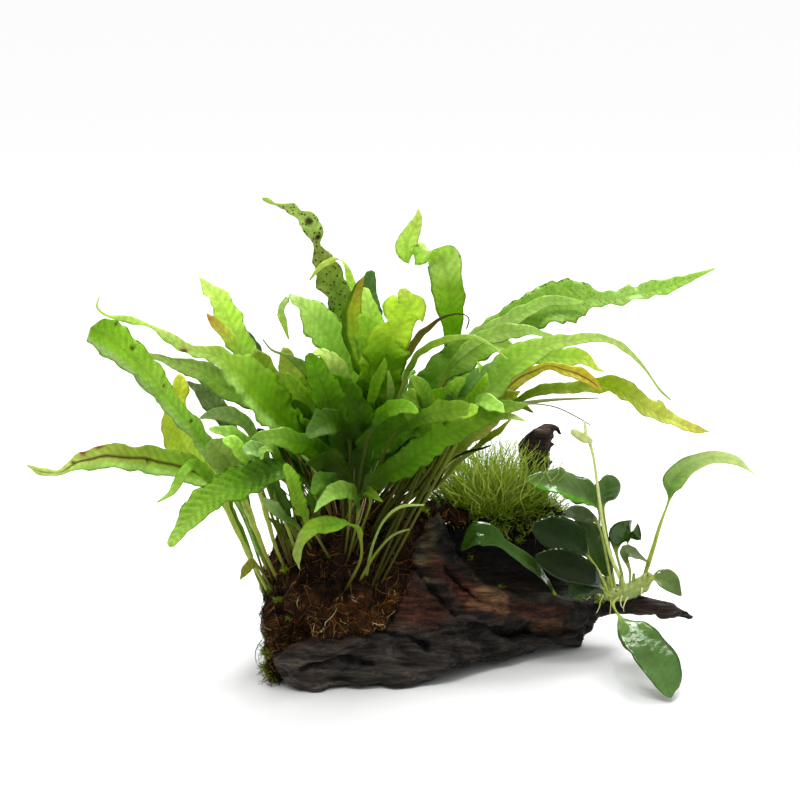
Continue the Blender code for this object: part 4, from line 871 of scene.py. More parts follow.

# Each leaf's shades run from the foot of its blade to its tip. They are its own greens and yellows with painted light
# and shade in them: darker towards the foot, deep in the clump, and paler where a sheen lies on the blade. Leaves
# whose stalks stand in the heart of the clump have the dark stalk #52641c and foot 3a3414, which are painted shade.
FERN_LEAVES = {
    "left_low": dict(
        shades=("#6fa428", "#78a424", "#84ae34", "#90b640", "#9cb050", "#c0d080", "#c4d688"),
        left="#a5c878", rib="#4a3a1e",
        ruffle=1.6, edge=0.18, scars=((0.79, 0.95, 2.6, "#8a5a34"), (0.83, 0.9, 2, "#8a5a34"), (0.86, 0.2, 1.4, "#5f4426"),
               (0.66, -0.1, 1, "#2b2a12")),
        stalk="#b4bc68", foot_shade="#8c9440", foot=(272, 612, -8), route=(
        (252, 560, -16, 3.8), (236, 520, -22, 4.6), (219, 488, -27, 8), (190, 470, -31, 14),
        (150, 460, -34, 16), (110, 457, -37, 14), (82, 461, -39, 9), (60, 473, -41, 3.5),
        (42, 471, -42, 4.5), (26, 465, -43, 1))),
    "left_long": dict(
        shades=("#6f9c34", "#74a038", "#8cb852", "#8ab84c", "#9cc858", "#acd462", "#9ccc44", "#8cb838"),
        left="#a3c486",
        ruffle=1.5, spots=0.15, scars=(
            (0.945, 0.75, 0.9, "#26360a"), (0.87, 0.45, 1.1, "#26360a"), (0.73, 0.45, 0.9, "#26360a"),
            (0.6, 0.3, 0.7, "#3a4a14")),
        stalk="#b4bc68", foot_shade="#8c9440", foot=(276, 590, 0), route=(
        (258, 545, -5, 3.8), (242, 505, -9, 4.6), (225, 472, -12, 7), (205, 443, -14, 10),
        (182, 416, -15, 11), (162, 392, -16, 12), (141, 366, -18, 16), (120, 347, -19, 19),
        (103, 335, -19, 19), (90, 328, -20, 12))),
    "left_broad": dict(
        shades=("#3f6c04", "#4a7c02", "#5f9408", "#80b424", "#a6cc58", "#b8d07c", "#c8dc94", "#b8d878",
                "#bcdc80"),
        left="#a9d073",
        ruffle=1.8, scars=((0.70, -0.9, 2, "#6b4a3a"),),
        route=(
        (318, 470, -18, 5), (296, 435, -20, 18), (270, 405, -20, 25), (242, 374, -18, 19),
        (215, 356, -16, 9), (190, 350, -15, 7), (165, 335, -14, 5.5), (150, 326, -13, 2.5),
        (128, 319, -12, 4.4), (108, 316, -11, 2), (97, 307, -10, 1.6), (100, 296, -9, 1))),
    "left_dark": dict(
        shades=("#3c6602", "#5f9008", "#7ca440", "#94b064", "#b2cc82"),
        right="#7c9a4c", ruffle=1.2,
        route=(
        (300, 430, -2, 4), (262, 405, -1, 10), (228, 388, 0, 13), (200, 372, 2, 11), (170, 361, 4, 6),
        (135, 351, 6, 1))),
    "left_yellow": dict(
        shades=("#8cac30", "#b0cc5c", "#c4d45c", "#ccd458"),
        ruffle=1.0,
        foot=(274, 604, 8), route=(
        (240, 510, 16, 2), (208, 470, 16, 9), (184, 446, 16, 16), (176, 415, 16, 16),
        (179, 388, 16, 10), (180, 373, 16, 2))),
    "left_crinkled": dict(
        shades=("#8ca870", "#6c8458", "#586e48"),
        spots=0.5, ruffle=2.2,
        foot=(284, 575, 14), route=(
        (255, 480, 22, 3), (232, 430, 26, 8), (212, 402, 27, 12), (187, 381, 28, 2))),
    "upright_bright": dict(
        shades=("#5f980a", "#86b62c", "#aad262", "#c8e87a", "#d0e896"),
        ruffle=1.8, edge=0.34,
        route=(
        (292, 440, 13, 3), (268, 400, 13, 10), (250, 365, 14, 15), (236, 335, 15, 15),
        (222, 305, 16, 12), (208, 288, 17, 7), (199, 277, 17, 1))),
    "yellowing_low": dict(
        shades=("#7cac24", "#a4c440", "#a4bc54"),
        ruffle=1.0,
        route=(
        (298, 420, -8, 3), (278, 385, -9, 9), (262, 362, -9, 11), (254, 350, -9, 4))),
    "yellowing_tall": dict(
        shades=("#78a42c", "#98bc3a", "#b0c45c", "#a8b860"),
        ruffle=1.0,
        route=(
        (322, 430, 0, 3), (304, 400, 0, 11), (292, 375, 0, 12), (286, 355, 0, 8), (283, 347, 0, 2))),
    "pale_folded": dict(
        shades=("#4f7818", "#98c450", "#9ccc54", "#b0d678", "#b2d084", "#a8c45a"),
        ruffle=1.3,
        route=(
        (362, 430, 11, 3), (350, 385, 12, 14), (335, 350, 12, 19), (318, 322, 12, 18),
        (300, 304, 12, 12, 30), (287, 298, 11, 8, 70), (281, 312, 9, 6, 50), (289, 340, 8, 1, 0))),
    "spotted_tall": dict(
        shades=("#688e1c", "#7c9c44", "#74943c", "#8aa450", "#84944c", "#a4c070", "#9cb460", "#a0bc60"),
        spots=1.0, ruffle=1.8, edge=0.3,
        scars=((0.845, 0.1, 2, "#3a3a24"), (0.8, 0.45, 1.6, "#2f2a1a")),
        route=(
        (372, 400, 26, 2.5), (358, 350, 28, 5), (347, 318, 30, 13), (338, 295, 31, 15),
        (330, 275, 32, 14), (322, 257, 32, 12.5), (316, 244, 32, 4.5), (313, 232, 32, 12),
        (306, 221, 32, 12), (299, 214, 32, 6), (291, 209, 32, 7), (283, 206, 32, 4),
        (275, 204, 32, 2.2), (268, 201, 32, 3.4), (262, 198, 32, 2.5))),
    "thin_hook": dict(
        shades=("#90bc50", "#bcdc68", "#c8d684", "#b0cc50"),
        ruffle=0.5,
        route=(
        (372, 380, 20, 2), (360, 315, 20, 3), (352, 280, 21, 5), (345, 264, 21, 4, 50),
        (332, 261, 20, 4, 70), (318, 270, 19, 3, 40), (309, 281, 18, 1))),
    "folded_olive": dict(
        shades=("#54780c", "#749c1e", "#98bc3c", "#a6b434", "#a89844"),
        left="#4f7a10", ruffle=0.8,
        stalk="#52641c", foot_shade="#3a3414", route=(
        (368, 400, 4, 4), (357, 350, 4, 11), (352, 315, 5, 10), (358, 290, 5, 6), (364, 276, 5, 1))),
    "pale_behind": dict(
        shades=("#4f8a10", "#7cac1c", "#b8de70", "#c4e088"),
        ruffle=0.8,
        route=(
        (384, 390, 12, 4), (378, 345, 14, 11), (370, 310, 14, 10), (364, 287, 14, 3))),
    "jagged_yellow": dict(
        shades=("#3f6a08", "#50760e", "#588608", "#78aa14", "#b8d844", "#c0de50", "#ccdc80"),
        ruffle=2.0, edge=0.24,
        stalk="#52641c", foot_shade="#3a3414", route=(
        (392, 440, -14, 3), (390, 400, -14, 11), (386, 368, -14, 17), (388, 343, -14, 23),
        (400, 326, -14, 16), (405, 312, -14, 21), (410, 302, -14, 15), (400, 288, -14, 4))),
    "tall_folded": dict(
        shades=("#648c14", "#6ca00a", "#72a812", "#90b83e", "#bcd88c", "#c0e478", "#c0dc7c", "#d0e090"),
        bumps=1.0, ruffle=0.5, edge=0.08, twist=0.2,
        route=(
        (430, 440, 12, 2.5), (446, 380, 15, 3), (452, 335, 20, 10), (450, 300, 23, 17),
        (446, 274, 23, 19), (441, 257, 23, 19, 10), (429, 251, 21, 13, 20), (413, 253, 20, 13, 10),
        (407, 246, 19, 13), (413, 230, 19, 9), (418, 218, 18, 4.5), (418, 208, 18, 1.2))),
    "right_stippled": dict(
        shades=("#7ca83c", "#9cc46c", "#8cb454", "#9cc464", "#a8cc7c", "#a8d070", "#acd470"),
        spots=0.35, ruffle=1.8,
        route=(
        (440, 400, 24, 2.5), (470, 345, 26, 8), (510, 322, 27, 16), (550, 308, 29, 26),
        (578, 300, 30, 22), (600, 299, 31, 10), (622, 297, 32, 10), (645, 293, 33, 11),
        (680, 282, 34, 7), (716, 268, 35, 1))),
    "right_pale": dict(
        shades=("#6c9830", "#a0bc78", "#a8cc74", "#acd47c"),
        ruffle=1.0,
        route=(
        (430, 405, 17, 2.5), (460, 350, 18, 6), (500, 325, 18, 10), (545, 303, 18, 8),
        (585, 302, 18, 2))),
    "right_grey": dict(
        shades=("#5c8a1c", "#a4c474", "#a2c46e", "#a0c070"),
        ruffle=0.8,
        route=(
        (425, 415, -4, 2.5), (462, 352, -8, 5), (500, 333, -9, 9), (530, 331, -10, 6),
        (557, 337, -11, 1))),
    "thin_arch": dict(
        shades=("#5c8418", "#8cac3c", "#a8c860", "#b4d47c"),
        ruffle=0.4,
        route=(
        (398, 400, -22, 2.5), (415, 358, -23, 4), (440, 342, -24, 4), (470, 337, -25, 3),
        (490, 345, -26, 2), (508, 360, -27, 1))),
    "long_arch": dict(
        shades=("#5c8410", "#709834", "#98c05a", "#a6cc5c", "#b8d484", "#b8d088", "#b4cc80", "#a8c870"),
        ruffle=1.2,
        route=(
        (420, 450, -26, 2.5), (455, 420, -28, 6), (490, 390, -31, 14), (520, 362, -33, 17),
        (548, 345, -34, 11.5), (575, 340, -35, 6.5), (605, 338, -36, 4.6), (625, 348, -36, 4),
        (645, 370, -37, 3), (660, 390, -37, 2.5), (672, 401, -37, 1))),
    "right_green_yellow": dict(
        shades=("#6fa028", "#a4c864", "#a8d058", "#d4e070"),
        ruffle=1.0,
        route=(
        (450, 420, -2, 2.5), (490, 380, -6, 4), (530, 357, -8, 9), (560, 357, -9, 11),
        (585, 360, -10, 9), (605, 373, -10, 1))),
    "right_orange": dict(
        shades=("#8fae3c", "#a4ac3c", "#bcb85c", "#beb83c", "#c8ba38", "#cab450"),
        rib="#6f4a1c", ruffle=1.0,
        route=(
        (460, 430, -14, 2.5), (495, 400, -18, 6), (520, 378, -20, 9), (545, 367, -21, 4),
        (565, 370, -21, 7), (585, 378, -21, 9), (603, 391, -21, 1))),
    "right_yellow_tip": dict(
        shades=("#4f6c0c", "#708a1c", "#889f22", "#98b02c", "#b8c464", "#ced47c", "#c6c068"),
        ruffle=1.6,
        route=(
        (430, 470, 4, 2.2), (470, 430, 4, 2.5), (510, 405, 4, 3.5), (545, 390, 4, 6),
        (580, 388, 4, 8), (612, 388, 4, 12), (640, 402, 5, 14), (665, 417, 5, 11),
        (690, 427, 5, 7), (710, 432, 5, 1))),
    "middle_dark": dict(
        shades=("#3f6a0c", "#50801c", "#64902c", "#94b858", "#90b240"),
        ruffle=1.4,
        stalk="#52641c", foot_shade="#3a3414", route=(
        (400, 420, 2, 3), (425, 388, 2, 14), (455, 362, 3, 20), (485, 346, 3, 16), (510, 348, 4, 8),
        (522, 352, 4, 2))),
    "diagonal_glossy": dict(
        shades=("#34540a", "#42640c", "#528414", "#70a024", "#789c30", "#8cae50"),
        ruffle=1.2,
        foot=(345, 522, -30), route=(
        (355, 502, -36, 2.5), (378, 480, -42, 11), (405, 465, -46, 14), (440, 440, -49, 16),
        (475, 420, -50, 13), (505, 408, -50, 8), (530, 404, -50, 1))),
    "broad_dark": dict(
        shades=("#2c4c04", "#2c5004", "#386408", "#4c780c", "#649418"),
        ruffle=2.0,
        spread=0.3, stalk="#52641c", foot_shade="#3a3414", route=(
        (350, 500, -22, 3), (360, 465, -26, 14), (382, 440, -28, 20), (412, 425, -30, 19),
        (440, 418, -30, 11), (465, 415, -30, 2))),
    "wavy_bright": dict(
        shades=("#345c08", "#4f7c14", "#789f34", "#80a82c", "#8cb44c"),
        ruffle=2.0,
        stalk="#52641c", foot_shade="#3a3414", route=(
        (385, 450, -44, 2.5), (410, 425, -48, 5), (432, 414, -52, 9), (456, 410, -54, 10),
        (478, 408, -54, 3))),
    "ribbed_middle": dict(
        shades=("#345808", "#4c7a0e", "#649c14", "#70a41e"),
        ruffle=1.2,
        stalk="#52641c", foot_shade="#3a3414", route=(
        (342, 455, -22, 3), (335, 425, -24, 14), (326, 395, -24, 17), (316, 370, -24, 12),
        (309, 353, -24, 3))),
    "middle_bright": dict(
        shades=("#447004", "#5f9008", "#7cac18", "#a0c848", "#a8d054"),
        ruffle=1.4,
        stalk="#52641c", foot_shade="#3a3414", route=(
        (378, 425, -4, 3), (372, 390, -4, 14), (374, 360, -4, 18), (368, 330, -4, 12),
        (360, 314, -4, 3))),
    "middle_left": dict(
        shades=("#4a7410", "#729c20", "#8cb832", "#98c044"),
        ruffle=1.2,
        spread=0.2, stalk="#52641c", foot_shade="#3a3414", route=(
        (345, 450, -12, 3), (322, 425, -12, 14), (305, 402, -12, 16), (294, 386, -12, 10),
        (286, 372, -12, 2))),
    "middle_low": dict(
        shades=("#244804", "#345f06", "#4a7c08", "#6ca418"),
        ruffle=1.4,
        stalk="#52641c", foot_shade="#3a3414", route=(
        (372, 470, -17, 3), (362, 430, -17, 16), (350, 400, -17, 18), (336, 382, -17, 10),
        (324, 374, -17, 2))),
    "right_middle": dict(
        shades=("#2f5206", "#466c0c", "#7ca824", "#8cac44"),
        ruffle=1.2,
        route=(
        (430, 450, -20, 3), (448, 420, -20, 12), (470, 400, -20, 14), (488, 390, -20, 8),
        (498, 384, -20, 2))),
    "front_middle": dict(
        shades=("#304c08", "#3c5a0a", "#4c7418"),
        ruffle=1.2,
        stalk="#52641c", foot_shade="#3a3414", route=(
        (352, 490, -34, 3), (335, 465, -37, 12), (318, 457, -39, 12), (305, 464, -41, 3))),
    "front_level": dict(
        shades=("#44680e", "#589008", "#64981a", "#8cb452", "#98bc68"),
        ruffle=1.2,
        stalk="#52641c", foot_shade="#3a3414", route=(
        (342, 485, -34, 3), (320, 452, -42, 10), (290, 440, -48, 12), (262, 438, -52, 9),
        (249, 450, -54, 6), (255, 461, -55, 2))),
    "front_ribbed": dict(
        shades=("#4f7010", "#4c7e14", "#609030", "#70a42c", "#88b83c", "#a0c85c", "#b0d470"),
        ribs=1.6, ruffle=1.6, veins=0.24,
        foot=(318, 525, -26), route=(
        (318, 502, -40, 2.5), (303, 482, -50, 5), (280, 470, -59, 16), (245, 482, -66, 18),
        (212, 497, -71, 17), (188, 520, -75, 12), (176, 538, -77, 7), (169, 547, -78, 3))),
    "front_oval": dict(
        shades=("#6a9c2c", "#7c9c48", "#9cb46c", "#a0b878"),
        ruffle=0.8,
        foot=(274, 585, -16), route=(
        (252, 520, -40, 2.2), (240, 485, -46, 8), (228, 462, -48, 17), (214, 447, -50, 13),
        (209, 440, -50, 5))),
    "front_arch": dict(
        shades=("#8ca040", "#80ac38", "#90c03c", "#98bc44", "#98ac64", "#98ac64"),
        ruffle=1.4,
        foot=(345, 590, -34), route=(
        (352, 578, -48, 2), (361, 558, -53, 2), (360, 536, -57, 3, 60), (352, 525, -60, 8, 60),
        (330, 525, -62, 9), (312, 529, -63, 8), (300, 545, -64, 6), (297, 558, -64, 5),
        (300, 570, -64, 1))),
    "back_upright": dict(
        shades=("#3c6a10", "#5c9420", "#8cbc50"),
        ruffle=1.4,
        spread=0.0, route=(
        (345, 440, 38, 2.5), (338, 402, 54, 12), (333, 378, 72, 18), (331, 370, 92, 14),
        (330, 374, 110, 2))),
    "back_middle": dict(
        shades=("#3c6c0c", "#588c1c", "#80b43c"),
        ruffle=1.4,
        spread=0.0, route=(
        (385, 440, 42, 2.5), (392, 398, 58, 14), (397, 374, 78, 20), (402, 370, 98, 15),
        (406, 376, 116, 2))),
    "back_right": dict(
        shades=("#44700e", "#68a02c", "#98c456"),
        ruffle=1.4,
        spread=0.0, route=(
        (412, 455, 38, 2.5), (438, 415, 54, 12), (458, 390, 72, 18), (474, 382, 90, 14),
        (488, 388, 106, 2))),
    "back_left": dict(
        shades=("#3c6a10", "#5c9420", "#84b444"),
        ruffle=1.4,
        spread=0.0, route=(
        (325, 450, 36, 2.5), (303, 428, 50, 10), (288, 416, 66, 14), (274, 412, 82, 12),
        (262, 419, 96, 2))),
    "back_low": dict(
        shades=("#4c700e", "#84ac38", "#b0c054"),
        ruffle=1.2,
        spread=0.0, route=(
        (400, 482, 48, 2.5), (424, 468, 64, 9), (446, 464, 80, 13), (466, 468, 94, 10),
        (484, 478, 106, 2))),
}

for seed, (name, shape) in enumerate(FERN_LEAVES.items(), 1):
    leaf = grow_leaf("fern_blade_" + name, seed=seed, **shape)
    ready(leaf, fern_blade)
    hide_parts("fern_leaf_" + name)


# The fern's young leaves and creeping runners: small curled blades, buds and dried ends that sprout all
# over the mat, of the same tissue as the big leaves. They are one piece, rooted in the mat together.
# Young leaves whose stalks stand in the heart of the clump have the dark stalk #52641c and foot #3a3414, which are
# painted shade; their shades, like the big leaves', carry painted light and shade along the blade.
YOUNG_FERN_LEAVES = {
    "curled dark": dict(
        shades=("#4f6f44", "#3f5f3a"), spots=0.4, ruffle=1.4,
        route=(
        (275, 400, 26, 3), (262, 368, 26, 8), (250, 345, 26, 9), (243, 330, 26, 4))),
    "dark round": dict(
        shades=("#4a7a30", "#4d7d33", "#3f6a2a"), ruffle=0.8,
        route=(
        (385, 380, 38, 3), (377, 330, 38, 8), (370, 295, 38, 9), (371, 270, 38, 5))),
    "right thin": dict(
        shades=("#7f8f5a", "#8a8f6a"), ruffle=0.2,
        route=(
        (460, 420, 14, 2), (510, 406, 16, 3), (550, 400, 17, 2.5), (600, 398, 18, 1))),
    "front curled": dict(
        shades=("#80a434", "#8cb834", "#98c448"),
        ruffle=1.4,
        route=(
        (312, 528, -48, 2.5), (301, 508, -60, 7), (293, 488, -68, 10), (289, 472, -70, 6),
        (284, 464, -70, 2))),
    "pale curl": dict(
        shades=("#5c8c14", "#84ac28", "#c8e090", "#d8eca8"),
        ruffle=1.4,
        faced=0.8, stalk="#52641c", foot_shade="#3a3414", route=(
        (350, 420, -10, 3), (342, 385, -12, 9), (334, 366, -13, 12), (321, 356, -14, 11, 40), (308, 356, -14, 5, 60))),
    "grey curl": dict(
        shades=("#6c9030", "#84a45c", "#98b088"),
        ruffle=1.4,
        faced=0.8, route=(
        (275, 470, 14, 2.5), (247, 425, 18, 7), (224, 414, 18, 9), (199, 418, 18, 2))),
    "side tip": dict(
        shades=("#88b430", "#a8cc5c", "#c0c458", "#c8985c"),
        ruffle=0.8,
        route=(
        (262, 410, 4, 2), (246, 365, 4, 4), (228, 337, 4, 7), (214, 322, 4, 5), (206, 313, 4, 1))),
    "thread leaf": dict(
        shades=("#54801a", "#6c9430", "#a0b080"),
        ruffle=0.8,
        stalk="#52641c", foot_shade="#3a3414", route=(
        (355, 408, -6, 3), (330, 384, -6, 8), (308, 370, -5, 7), (290, 357, -5, 3),
        (272, 350, -5, 1.5), (262, 338, -5, 1))),
    "dried tendril": dict(
        shades=("#6a6a2c", "#5a4c24", "#3c3018"),
        ruffle=1.4,
        route=(
        (398, 380, 14, 2.5), (410, 352, 14, 4.5), (422, 334, 14, 4), (438, 320, 13, 2.5),
        (450, 315, 12, 1.5), (462, 314, 12, 1.5), (469, 319, 12, 1.2), (466, 330, 12, 1))),
    "wavy edge": dict(
        shades=("#3c6408", "#60940c", "#8cc43c"),
        ruffle=2.0,
        faced=0.8, stalk="#52641c", foot_shade="#3a3414", route=(
        (365, 450, -38, 2.5), (376, 424, -42, 4), (388, 410, -44, 9), (404, 407, -45, 8),
        (419, 413, -45, 2))),
    "side light": dict(
        shades=("#4c7010", "#789c28", "#a0c458"),
        ruffle=1.2,
        faced=0.8, stalk="#52641c", foot_shade="#3a3414", route=(
        (412, 440, -19, 2.5), (420, 415, -20, 8), (418, 395, -21, 11), (411, 375, -21, 2))),
    "bright tip": dict(
        shades=("#5c8c18", "#9cc44c"),
        ruffle=1.0,
        faced=0.8, route=(
        (440, 430, -43, 2.5), (450, 402, -44, 8), (457, 388, -44, 8), (465, 379, -44, 2))),
    "bright point": dict(
        shades=("#70a024", "#a0c438", "#b4da64"),
        ruffle=1.2,
        faced=0.8, route=(
        (460, 425, -46, 2.5), (474, 395, -47, 9), (484, 377, -47, 6), (477, 361, -47, 1))),
    "light tip": dict(
        shades=("#7ca040", "#c0d880"),
        ruffle=0.8,
        faced=0.8, route=(
        (462, 435, -50, 2.5), (482, 425, -51, 3), (503, 416, -52, 5), (526, 421, -52, 1))),
    "grey tip": dict(
        shades=("#284404", "#406410", "#5c8440"),
        ruffle=1.0,
        faced=0.8, stalk="#52641c", foot_shade="#3a3414", route=(
        (350, 448, -30, 2.5), (338, 424, -36, 9), (322, 424, -40, 15), (306, 439, -42, 3))),
    "bright bit": dict(
        shades=("#a0c850", "#c4ec7c"),
        ruffle=1.0,
        foot=(288, 560, -26), faced=0.8, route=(
        (266, 500, -54, 2), (254, 472, -58, 4), (242, 455, -60, 7), (233, 443, -60, 8), (222, 440, -60, 2))),
    "dark bit": dict(
        shades=("#345408", "#5f8c30"),
        ruffle=1.2,
        faced=0.8, route=(
        (350, 500, -46, 2.5), (336, 484, -52, 8), (321, 480, -55, 9), (312, 494, -58, 3))),
    "edge bit": dict(
        shades=("#40640a", "#648c30", "#98c060", "#a8d080"),
        ruffle=1.4,
        faced=0.8, route=(
        (358, 515, -48, 2.5), (352, 493, -56, 8), (336, 492, -60, 10), (323, 501, -62, 5),
        (314, 513, -63, 1))),
    "pointed bit": dict(
        shades=("#405c0a", "#70902f"),
        ruffle=0.8,
        faced=0.8, route=(
        (370, 505, -42, 2), (366, 490, -47, 6), (372, 495, -51, 5), (383, 502, -53, 1))),
    "runner high": dict(
        shades=("#98ac60", "#acc47c"),
        ruffle=0.0,
        foot=(366, 578, -30), route=(
        (372, 548, -50, 1.8), (383, 522, -56, 1.8), (400, 507, -59, 2), (425, 505, -62, 1)), fold=0.0),
    "runner low": dict(
        shades=("#808c48", "#90a058"),
        ruffle=0.0,
        foot=(358, 584, -30), route=(
        (374, 556, -50, 1.8), (392, 536, -56, 1.8), (410, 529, -58, 1)), fold=0.0),
    "olive bit": dict(
        shades=("#a4a458", "#a0a848"),
        ruffle=0.8,
        foot=(278, 600, -18), route=(
        (262, 572, -28, 2), (254, 563, -31, 5), (245, 570, -33, 5), (240, 580, -34, 1))),
    "crumpled light": dict(
        shades=("#6c9c30", "#a0cc68", "#b4dc80"), ruffle=2.2,
        foot=(290, 565, -26), faced=0.8, route=(
        (272, 500, -50, 2), (258, 462, -54, 4), (245, 440, -55, 6), (228, 432, -56, 7), (208, 429, -56, 2))),
    "pale lobe": dict(
        shades=("#4c7418", "#7ca858", "#a0c88c"), ruffle=1.4,
        foot=(292, 562, -26), faced=0.8, route=(
        (276, 500, -54, 2), (268, 468, -58, 4), (262, 452, -60, 7), (252, 450, -61, 9), (243, 452, -61, 4))),
    "small ring": dict(
        shades=("#4c7410", "#6c9c2c", "#a8cc74"), ruffle=1.6,
        foot=(300, 555, -26), faced=0.8, route=(
        (292, 500, -50, 2), (282, 466, -54, 4), (274, 450, -56, 7), (264, 452, -57, 6, 40), (262, 460, -57, 2, 60))),
    "crossing light": dict(
        shades=("#6fa028", "#8cbc44", "#a8cc64"), ruffle=1.4,
        foot=(272, 600, -12), faced=0.8, route=(
        (245, 545, -30, 2), (215, 490, -42, 3), (196, 466, -46, 6), (185, 468, -47, 6), (176, 484, -48, 5),
        (168, 495, -48, 3), (156, 503, -48, 1))),
    "hoop leaf": dict(
        shades=("#4c7810", "#6c9c28", "#84b03c", "#b0d468"), ruffle=1.2,
        faced=0.8, stalk="#52641c", foot_shade="#3a3414", route=(
        (432, 450, -24, 2.5), (430, 418, -26, 6), (427, 398, -27, 8), (418, 384, -28, 7), (411, 375, -28, 2))),
    "hoop inner": dict(
        shades=("#40680c", "#7ca430", "#98bc4c"), ruffle=1.0,
        faced=0.8, stalk="#52641c", foot_shade="#3a3414", route=(
        (420, 450, -30, 2.5), (413, 420, -32, 7), (411, 403, -33, 9), (414, 388, -33, 3))),
    "flat lime": dict(
        shades=("#3c6404", "#689c04", "#6ca008"), ruffle=0.8,
        faced=0.8, stalk="#52641c", foot_shade="#3a3414", route=(
        (420, 450, -16, 2.5), (424, 410, -18, 5), (432, 398, -19, 7), (446, 397, -20, 8), (458, 399, -20, 2))),
    "forked lime": dict(
        shades=("#3c6402", "#74a818", "#8cbc34"), ruffle=0.8,
        faced=0.8, stalk="#52641c", foot_shade="#3a3414", route=(
        (372, 440, -16, 2.5), (370, 405, -18, 5), (376, 384, -19, 7), (383, 368, -20, 5), (385, 358, -20, 1))),
    "pale strap": dict(
        shades=("#5c8428", "#8cac58", "#98b46c"), ruffle=0.6,
        faced=0.8, stalk="#52641c", foot_shade="#3a3414", route=(
        (388, 440, -22, 2.5), (389, 405, -24, 3.5), (391, 388, -25, 4), (388, 370, -25, 1.5))),
    "grey strap": dict(
        shades=("#3c6820", "#54803c", "#6c9850", "#8cb464"), ruffle=0.8,
        faced=0.8, stalk="#52641c", foot_shade="#3a3414", route=(
        (432, 450, -46, 2.5), (450, 402, -49, 6), (465, 387, -50, 7), (482, 372, -50, 5), (500, 359, -50, 1))),
    "light flag": dict(
        shades=("#5c9020", "#a0d060", "#b8e078"), ruffle=1.4,
        faced=0.8, stalk="#52641c", foot_shade="#3a3414", route=(
        (445, 450, -52, 2.5), (465, 412, -54, 4), (481, 402, -55, 8), (495, 406, -56, 7), (505, 413, -56, 1))),
    "bright oval": dict(
        shades=("#5c8c18", "#a4d048", "#b8dc64"), ruffle=0.8,
        faced=0.8, stalk="#52641c", foot_shade="#3a3414", route=(
        (430, 450, -56, 2.5), (446, 420, -58, 3.5), (458, 412, -59, 8), (469, 411, -60, 8), (479, 407, -60, 1))),
    "dark tip": dict(
        shades=("#4c7410", "#5c8814", "#5c8418", "#4c3c1c"), ruffle=0.8,
        faced=0.8, stalk="#52641c", foot_shade="#3a3414", route=(
        (455, 450, -30, 2.5), (490, 416, -32, 4), (508, 408, -33, 5), (522, 407, -33, 4), (534, 413, -33, 1))),
    "yellow bit": dict(
        shades=("#6c8420", "#a0ac40", "#bcc45c"), ruffle=1.2,
        faced=0.8, stalk="#52641c", foot_shade="#3a3414", route=(
        (450, 450, -22, 2.5), (478, 414, -24, 4), (496, 398, -25, 7), (510, 396, -25, 6), (521, 391, -25, 1))),
    "pink strap": dict(
        shades=("#586c14", "#748c28", "#8c9c44", "#b4a06c"), ruffle=0.6,
        route=(
        (420, 490, -22, 3), (440, 464, -24, 4.5), (460, 448, -25, 5), (478, 434, -26, 6), (494, 423, -26, 4),
        (504, 415, -26, 1))),
    "yellow strap": dict(
        shades=("#5c7418", "#8c9c38", "#b0b858"), ruffle=0.6,
        route=(
        (432, 490, -14, 2.5), (458, 462, -15, 3), (480, 445, -16, 3.5), (497, 432, -16, 4), (512, 418, -16, 1))),
    "dark twig": dict(
        shades=("#2c2808", "#2c2808"), stalk="#2c2808", ruffle=0.0, fold=0.0,
        route=(
        (432, 490, -20, 2), (446, 464, -21, 2), (464, 453, -22, 2.2), (480, 449, -22, 1.8), (492, 445, -22, 1))),
    "black twig": dict(
        shades=("#1f1c06", "#1f1c06"), stalk="#1f1c06", ruffle=0.0, fold=0.0,
        route=(
        (424, 500, -26, 2), (434, 472, -27, 2.2), (441, 452, -27, 2), (448, 438, -27, 1))),
    "left strap one": dict(
        shades=("#c0cc7c", "#b8c870"), stalk="#c4cc7c", foot_shade="#98a048", rib="#5c5420", ruffle=0.6,
        foot=(276, 606, -12), route=(
        (262, 580, -20, 2.4), (246, 548, -26, 2.8), (232, 520, -30, 3.2), (224, 498, -32, 3.4), (218, 480, -33, 2))),
    "left strap two": dict(
        shades=("#c0cc7c", "#b8c870"), stalk="#c4cc7c", foot_shade="#98a048", rib="#4c4418", ruffle=0.6,
        foot=(282, 588, -16), route=(
        (268, 560, -26, 2.6), (256, 530, -32, 3.2), (246, 505, -36, 3.8), (240, 485, -38, 3))),
    "left strap three": dict(
        shades=("#c0cc7c", "#b8c870"), stalk="#c4cc7c", foot_shade="#98a048", rib="#5c5420", ruffle=0.6,
        foot=(288, 575, -16), route=(
        (276, 548, -26, 2.5), (268, 520, -32, 3), (262, 498, -36, 3.6), (258, 480, -38, 3))),
    "left strap four": dict(
        shades=("#c0cc7c", "#b8c870"), stalk="#c4cc7c", foot_shade="#98a048", ruffle=0.6,
        foot=(300, 560, -20), route=(
        (290, 535, -28, 2.4), (281, 508, -34, 2.8), (274, 488, -38, 3.4), (268, 474, -40, 2))),
    "grey leaf low": dict(
        shades=("#6c9444", "#90b078", "#a4c08c"), ruffle=1.6,
        foot=(312, 550, -30), faced=0.8, route=(
        (300, 530, -42, 2.5), (284, 516, -48, 6), (272, 506, -51, 7), (262, 498, -52, 2))),
    "moss leaf low": dict(
        shades=("#4c6414", "#6c8430"), ruffle=1.6,
        foot=(300, 560, -24), faced=0.8, route=(
        (290, 545, -30, 2.5), (282, 534, -34, 4), (276, 524, -36, 4), (268, 518, -37, 1))),
    "filling one": dict(
        shades=("#3c5c14", "#4c7420", "#5c8830"), ruffle=1.8,
        foot=(304, 556, -22), route=(
        (292, 528, -32, 3), (282, 504, -38, 7), (274, 486, -40, 8), (268, 472, -41, 2))),
    "filling two": dict(
        shades=("#345408", "#44680c", "#50781c"), ruffle=1.8,
        foot=(314, 548, -22), route=(
        (305, 525, -30, 3), (298, 502, -34, 8), (294, 482, -36, 7), (292, 466, -36, 2))),
